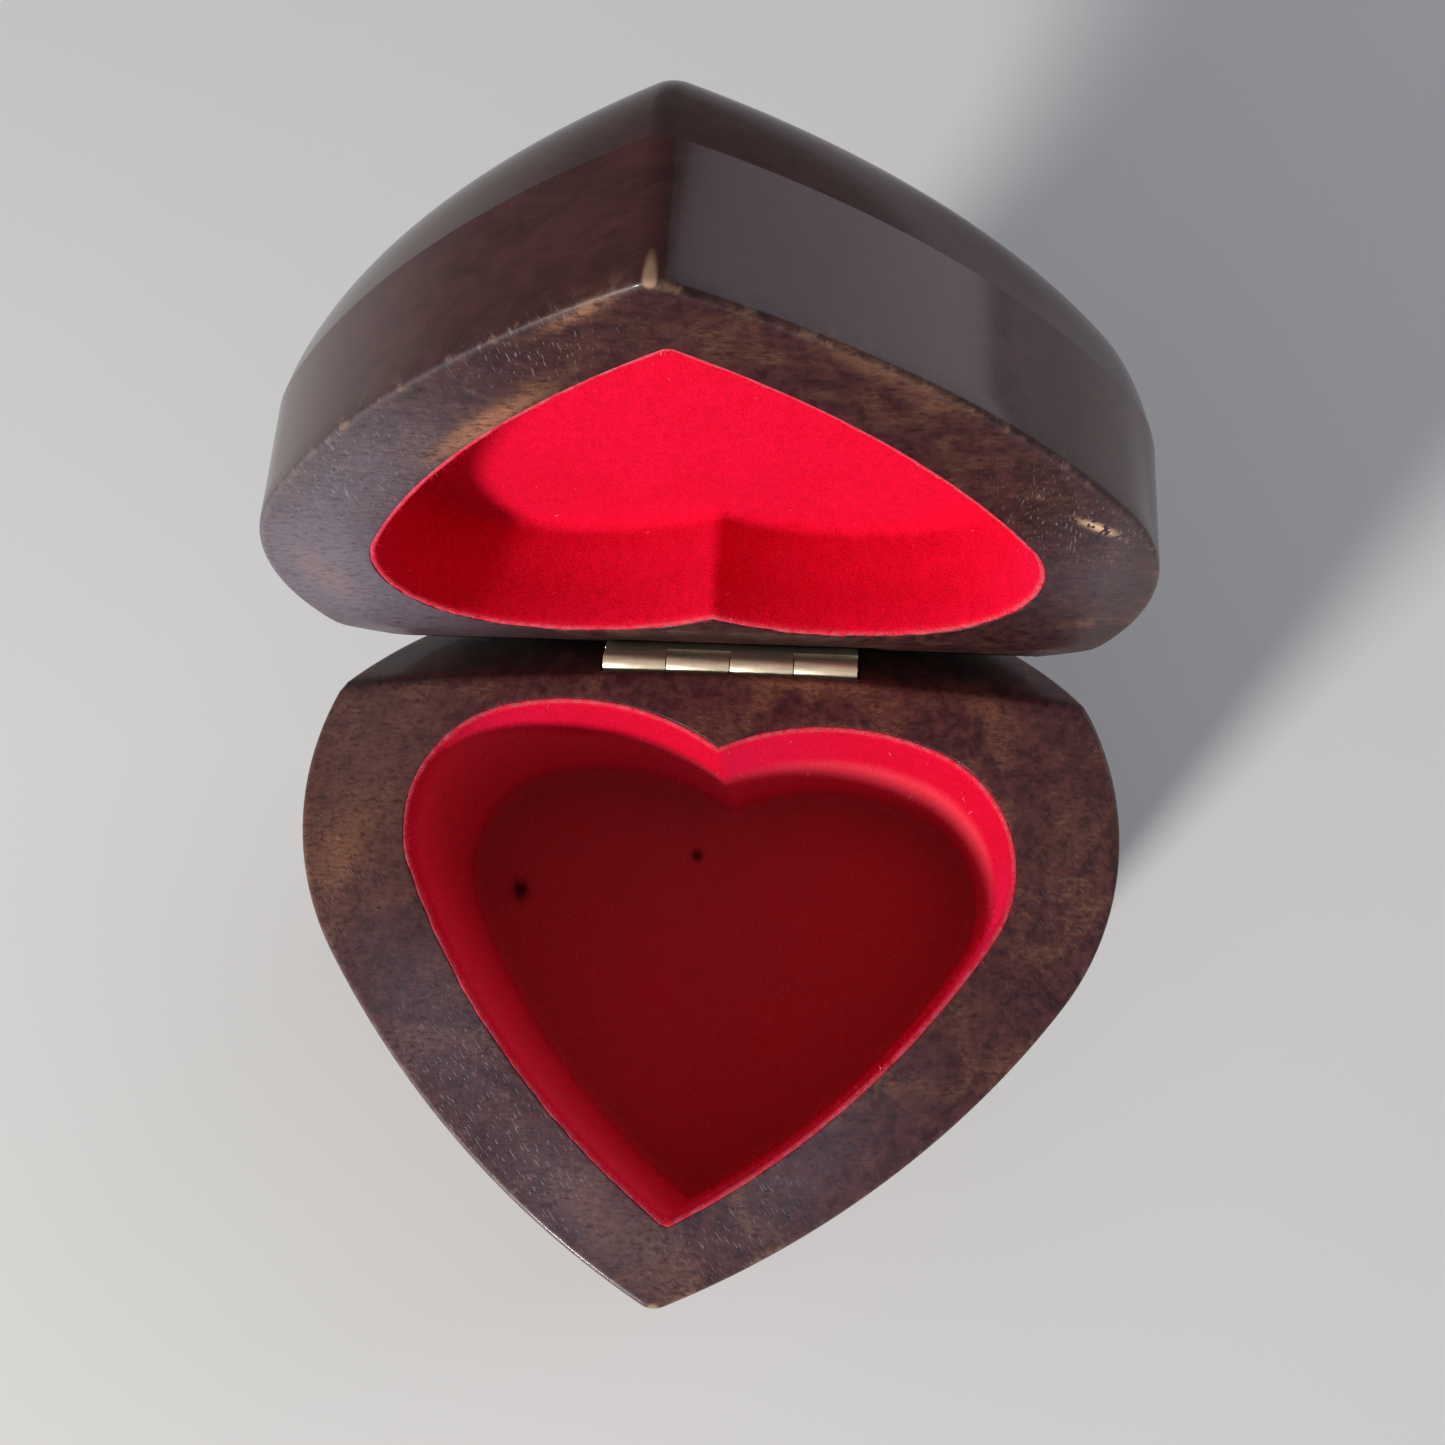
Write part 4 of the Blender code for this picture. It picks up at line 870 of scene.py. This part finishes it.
def flock_zones(made, top, lift, floor, stains, shade_share):
    """Stores the glued edge, the stains, painted shade on the floor, and painted shade on the walls below the
    sunlit band.
    """
    mesh = made.data
    points = mesh_points(mesh)
    below = lift * (top(points[:, :2]) - points[:, 2])
    point_values(mesh, "glue", np.exp(-(np.maximum(below - 0.05, 0.0) / GLUE_FADE) ** 2))
    total = np.zeros(len(points))
    for x, y, long, short in stains:
        near = np.abs(points[:, 2] - floor) < 0.6
        spread = np.exp(-((points[:, 0] - x) / long) ** 2 - ((points[:, 1] - y) / short) ** 2)
        total += near * spread * STAIN_STRENGTH
    point_values(mesh, "stain", np.clip(total, 0.0, 1.0))
    # Painted shade on the walls: which way each point faces stands in for the light's side
    outward = points[:, :2] - np.array(HEART_MIDDLE)
    outward /= np.maximum(np.hypot(outward[:, 0], outward[:, 1]), 1e-6)[:, None]
    far_side = np.clip(3.0 * (0.6 * outward[:, 0] + 0.8 * outward[:, 1]), 0.0, 1.0)
    on_floor = np.clip(1.0 - (np.abs(points[:, 2] - floor) - 0.2) / FLOOR_SHADE_CLIMB, 0.0, 1.0)
    walls = 1.0 - on_floor
    under_band = np.clip((below - SUNLIT_BAND * far_side) / SHADE_FADE, 0.0, 1.0)
    # Painted shade on the floor, and on the walls below the sunlit band
    point_values(mesh, "floor_shade", shade_share * on_floor)
    point_values(mesh, "shaded", shade_share * walls * under_band)


def surface_roots(rng, mesh, count):
    """Random places on a mesh, evenly by area, each with its normal and reach."""
    areas, triangles = [], []
    mesh.calc_loop_triangles()
    for triangle in mesh.loop_triangles:
        triangles.append(tuple(triangle.vertices))
        areas.append(triangle.area)
    chosen = rng.choices(range(len(triangles)), weights=areas, k=count)
    roots = []
    for index in chosen:
        first, second, third = (mesh.vertices[corner] for corner in triangles[index])
        a, b = rng.random(), rng.random()
        if a + b > 1.0:
            a, b = 1.0 - a, 1.0 - b
        root = first.co + (second.co - first.co) * a + (third.co - first.co) * b
        roots.append((root / MM, first.normal.copy(), 1.0))
    return roots


def add_fibres(name, source, count, placing, material, body, seed, top, lift, edge_ring):
    """Short tapered fibres that stand off a lining at random angles, none of them past its rim."""
    rng = random.Random(seed)
    roots = surface_roots(rng, source.data, count)
    roots += [(root, normal, 1.25) for root, normal in edge_ring]
    vertices, faces, pale = [], [], []
    for root, normal, reach in roots:
        drift = Vector((rng.gauss(0, 1), rng.gauss(0, 1), rng.gauss(0, 1)))
        way = (normal * 0.75 + drift * 0.6).normalized()
        across = way.cross(Vector((rng.gauss(0, 1), rng.gauss(0, 1), rng.gauss(0, 1)))).normalized()
        bend = way.cross(across) * rng.uniform(-0.3, 0.3)
        size = FIBRE_LENGTH * reach * rng.uniform(0.5, 1.35)
        half = rng.uniform(0.012, 0.022)
        whitish = 1.0 if rng.random() < PALE_FIBRE_SHARE else 0.0
        start = len(vertices)
        base = root - normal * 0.05
        middle = base + way * size * 0.55 + bend * size * 0.3
        end = base + way * size + bend * size
        vertices += [base - across * half, base + across * half, middle + across * half * 0.8,
                     middle - across * half * 0.8, end]
        faces += [(start, start + 1, start + 2, start + 3), (start + 3, start + 2, start + 4)]
        pale += [whitish] * 5
    points = np.array(vertices)
    points[:, 2] = lift * np.minimum(lift * points[:, 2], lift * top(points[:, :2]) + FIBRE_STANDS_PROUD)
    made = new_object(name, points, faces, placing, material)
    point_values(made.data, "pale", pale)
    finish_piece(made, body, "red_flock")


def edge_roots(cavity, top, lift, seed, count):
    """Places along the lining's upper edge where its fibres stick out."""
    rng = random.Random(seed)
    ring = cavity(0.25)
    heights = top(ring)
    roots = []
    for _ in range(count):
        index = rng.randrange(len(ring))
        following = (index + 1) % len(ring)
        share = rng.random()
        x, y = ring[index] * (1 - share) + ring[following] * share
        z = heights[index] * (1 - share) + heights[following] * share - lift * rng.uniform(0.15, 0.5)
        middle = Vector((HEART_MIDDLE[0] - x, HEART_MIDDLE[1] - y, 0.0)).normalized()
        roots.append((Vector((x, y, z)), (middle * 0.3 + Vector((0.0, 0.0, lift))).normalized()))
    return roots


def build_flock():
    cloth = flock_cloth("red_flock_cloth")
    fibre = flock_fibre("red_flock_fibre")
    base = build_lining("base_flock", box_frame, base_cavity, base_top, 1.0, FLOOR_SURFACE, cloth, 3)
    # Painted shade is laid only in the base's compartment; the lid gets none
    flock_zones(base, base_top, 1.0, FLOOR_SURFACE, BASE_STAINS, 1.0)
    add_fibres("base_flock_fibres", base, BASE_FIBRES, box_frame, fibre, "base", 11, base_top, 1.0,
               edge_roots(base_cavity, base_top, 1.0, 12, EDGE_FIBRES))
    finish_piece(base, "base", "red_flock", "base_lining")
    lid = build_lining("lid_flock", lid_frame, lid_cavity, lid_underside, -1.0, LID_FLOCK_SURFACE, cloth, 8)
    flock_zones(lid, lid_underside, -1.0, LID_FLOCK_SURFACE, (), 0.0)
    add_fibres("lid_flock_fibres", lid, LID_FIBRES, lid_frame, fibre, "lid", 21, lid_underside, -1.0,
               edge_roots(lid_cavity, lid_underside, -1.0, 22, EDGE_FIBRES))
    finish_piece(lid, "lid", "red_flock", "lid_lining")


# ---- Hinge ----

def curl_outline(side):
    """A knuckle rolled from its leaf: outer curl, free end, inner curl and the leaf's root."""
    points = []
    leaf_end = math.degrees(math.asin(LEAF_INNER / BARREL_BORE))
    for radius, start, end in ((BARREL_RADIUS, 90.0, CURL_END), (BARREL_BORE, CURL_END, leaf_end)):
        for step in range(CURL_STEPS + 1):
            turn = math.radians(start + (end - start) * step / CURL_STEPS)
            points.append((radius * math.cos(turn), radius * math.sin(turn)))
    points += [(LEAF_NEAR + 0.3, LEAF_INNER), (LEAF_NEAR + 0.3, LEAF_OUTER)]
    return [(y, side * z) for y, z in points]


def build_leaf(name, side, knuckles, placing, material, body, node):
    """One leaf with its knuckles, numbered from the left, and its countersunk holes."""
    half = HINGE_LENGTH / 2
    low, high = sorted((side * LEAF_INNER, side * LEAF_OUTER))
    made = block(name, (-half, LEAF_NEAR, low), (half, LEAF_FAR, high), placing)
    pitch = HINGE_LENGTH / 4
    tools = []
    for number in knuckles:
        start = -half + number * pitch + KNUCKLE_GAP / 2
        tools.append(extruded("curl", curl_outline(side), start, start + pitch - KNUCKLE_GAP, placing))
    cut(made, tools, "UNION")
    sinks = []
    for x in (-LEAF_SCREW_X, LEAF_SCREW_X):
        spot = placing @ Matrix.Translation((x * MM, LEAF_SCREW_REACH * MM, 0.0))
        profile = [(radius, side * height) for radius, height in LEAF_SINK]
        sinks.append(turned_solid("sink", profile, 32, spot, smooth=False))
    cut(made, sinks)
    bevel_edges(made, 0.07, 50.0)
    shade_by_angle(made, 32.0)
    made.data.materials.append(material)
    finish_piece(made, body, "brass", node)


def build_leaf_screw(name, side, x, placing, material, body):
    """A small countersunk screw with a crossed slot."""
    profile = list(LEAF_SCREW_HEAD)
    for thread in range(9):
        depth = 1.4 + thread * 0.5
        profile += [(0.4, depth), (0.6, depth + 0.22)]
    profile += [(0.2, 5.75), (0.0, 5.8)]
    spot = placing @ Matrix.Translation((x * MM, LEAF_SCREW_REACH * MM, 0.0))
    made = turned_solid(name, [(radius, side * depth) for radius, depth in profile], 28, spot, material)
    slots = []
    for turn in (20.0, 110.0):
        turned_spot = spot @ Matrix.Rotation(math.radians(turn), 4, "Z")
        low, high = sorted((side * 0.3, side * 0.85))
        slots.append(block("slot", (-0.62, -0.12, low), (0.62, 0.12, high), turned_spot))
    cut(made, slots)
    shade_by_angle(made, 35.0)
    finish_piece(made, body, "brass", name)


def build_hinge():
    plated = brushed_metal("pale_brass", (1.0, 0.88, 0.66), (0.84, 0.70, 0.50), 0.34, 0.25, 0.6)
    steel = brushed_metal("hinge_steel", (0.78, 0.77, 0.75), (0.5, 0.49, 0.47), 0.2)
    build_leaf("hinge_leaf_upper_metal", 1, (0, 2), lid_leaf_frame, plated, "lid", "hinge_leaf_upper")
    build_leaf("hinge_leaf_lower_metal", -1, (1, 3), base_leaf_frame, plated, "base", "hinge_leaf_lower")
    for number, x in enumerate((-LEAF_SCREW_X, LEAF_SCREW_X), 1):
        build_leaf_screw(f"upper_leaf_screw_{number}", 1, x, lid_leaf_frame, plated, "lid")
        build_leaf_screw(f"lower_leaf_screw_{number}", -1, x, base_leaf_frame, plated, "base")
    spot = axis_frame @ leaf_shift @ Matrix.Rotation(math.radians(90.0), 4, "Y")
    half = HINGE_LENGTH / 2
    profile = [(0.0, half + 0.1), (0.2, half + 0.08), (0.34, half), (PIN_RADIUS, half - 0.12),
               (PIN_RADIUS, 0.12 - half), (0.34, -half), (0.2, -half - 0.08), (0.0, -half - 0.1)]
    pin = turned_solid("hinge_pin_wire", profile, 28, spot, steel)
    finish_piece(pin, "base", "steel", "hinge_pin")


# ---- Stage ----

def build_stage():
    """A plain pale floor."""
    corners = [(x * FLOOR_HALF, y * FLOOR_HALF, 0.0) for x, y in ((-1, -1), (1, -1), (1, 1), (-1, 1))]
    floor = new_object("floor", corners, [(0, 1, 2, 3)], Matrix.Identity(4), None, smooth=False)
    paint = Paint("pale_floor")
    tone = paint.noise(0.02, 2.0, 0.5)
    colour = paint.mix(tone, (0.74, 0.74, 0.74), (0.76, 0.76, 0.76))
    floor.data.materials.append(paint.set(Base_Color=colour, Roughness=0.9))


def add_area_light(name, place, size, power, colour):
    """A round light, its size in metres, that faces the box."""
    data = bpy.data.lights.new(name, "AREA")
    data.shape = "DISK"
    data.size = size
    data.energy = power
    data.color = colour
    made = bpy.data.objects.new(name, data)
    bpy.context.scene.collection.objects.link(made)
    made.location = place
    made.rotation_euler = (Vector(place) - Vector(LIGHTS_AIM)).to_track_quat("Z", "Y").to_euler()


def build_lights():
    add_area_light("key", (-0.55, -0.72, 0.40), 0.16, 12.0, (1.0, 0.965, 0.92))
    add_area_light("window", (0.64, 0.43, 0.34), 0.62, 1.6, (0.92, 0.86, 1.0))
    world = bpy.data.worlds.new("studio")
    world.use_nodes = True
    background = world.node_tree.nodes["Background"]
    background.inputs["Color"].default_value = (0.92, 0.96, 1.0, 1.0)
    background.inputs["Strength"].default_value = 0.27
    bpy.context.scene.world = world


def build_camera():
    data = bpy.data.cameras.new("camera")
    data.sensor_width = 36.0
    data.lens = CAMERA_LENS
    data.clip_start = 0.005
    made = bpy.data.objects.new("camera", data)
    bpy.context.scene.collection.objects.link(made)
    made.location = BOX_ORIGIN + Vector((0.0, 0.0, AXIS_Z)) + Vector(CAMERA_FROM_HINGE) * MM
    made.rotation_euler = [math.radians(angle) for angle in CAMERA_TURN]
    bpy.context.scene.camera = made


def soften_copy(node, width, angle, material, body, slot):
    """A copy of a CAD piece with its sharp edges broken."""
    source = frame["nodes"][node]
    made = bpy.data.objects.new(f"{node}_softened", source.data.copy())
    bpy.context.scene.collection.objects.link(made)
    work = bmesh.new()
    work.from_mesh(made.data)
    bmesh.ops.remove_doubles(work, verts=work.verts, dist=0.005 * MM)
    bmesh.ops.dissolve_limit(work, angle_limit=math.radians(1.0), verts=work.verts, edges=work.edges)
    work.to_mesh(made.data)
    work.free()
    bevel_edges(made, width, angle)
    shade_by_angle(made, angle)
    made.data.materials.clear()
    made.data.materials.append(material)
    finish_piece(made, body, slot, node)


def build_panel_screw(node, material, head_radius, head_height):
    """A domed screw head with a slot, and its shank, where the CAD's plain screw stands."""
    low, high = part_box(node)
    spot = Matrix.Translation(((low.x + high.x) / 2, (low.y + high.y) / 2, low.z))
    length = (high.z - low.z) / MM
    profile = [(0.0, 0.0)]
    for step in range(1, 8):
        turn = math.pi / 2 * step / 7
        profile.append((head_radius * math.sin(turn), head_height * (1.0 - math.cos(turn)) * 0.8))
    profile += [(head_radius, head_height), (0.9, head_height + 0.02), (0.8, head_height + 0.5)]
    for thread in range(int((length - head_height - 1.5) / 0.6)):
        start = head_height + 0.7 + thread * 0.6
        profile += [(0.62, start), (0.8, start + 0.3)]
    profile += [(0.4, length - 0.4), (0.0, length)]
    made = turned_solid(f"{node}_turned", profile, 32, spot, material)
    slot_spot = spot @ Matrix.Rotation(math.radians(17.0 * (low.x / MM)), 4, "Z")
    slot = block("slot", (-head_radius - 0.3, -0.2, -0.3), (head_radius + 0.3, 0.2, 0.55), slot_spot)
    cut(made, [slot])
    shade_by_angle(made, 35.0)
    finish_piece(made, "base", "steel", node)


def paint_cad_nodes(looks):
    """Gives the CAD pieces that stay their worked materials."""
    for part in frame["record"]["subparts"]:
        look = looks.get(part["material_slot"])
        node = frame["nodes"][part["node"]]
        if look is None or node.hide_render:
            continue
        for slot in node.material_slots:
            slot.material = look
        if not node.material_slots:
            node.data.materials.append(look)


def build_underside_and_movement():
    looks = {
        "plain_wood": pale_plywood("bare_plywood"),
        "brass": brushed_metal("movement_brass", (0.80, 0.62, 0.30), (0.60, 0.44, 0.20), 0.22),
        "steel": brushed_metal("movement_steel", (0.70, 0.70, 0.70), (0.50, 0.50, 0.51), 0.28),
        "white_plastic": moulded_plastic("white_nylon"),
    }
    soften_copy("winding_key", 0.22, 40.0, looks["brass"], "key", "brass")
    soften_copy("bottom_panel", 0.25, 40.0, looks["plain_wood"], "base", "plain_wood")
    for number in (1, 2, 3):
        build_panel_screw(f"bottom_panel_screw_{number}", looks["steel"], 1.9, 1.2)
    paint_cad_nodes(looks)


def main():
    bpy.context.scene.view_settings.view_transform = "Standard"
    build_camera()
    build_base_wood(stained_wood("base_stained_wood", 0.0, 1.15))
    build_lid_wood(stained_wood("lid_stained_wood", 0.03, 0.52))
    build_flock()
    build_hinge()
    build_underside_and_movement()
    build_stage()
    build_lights()


main()
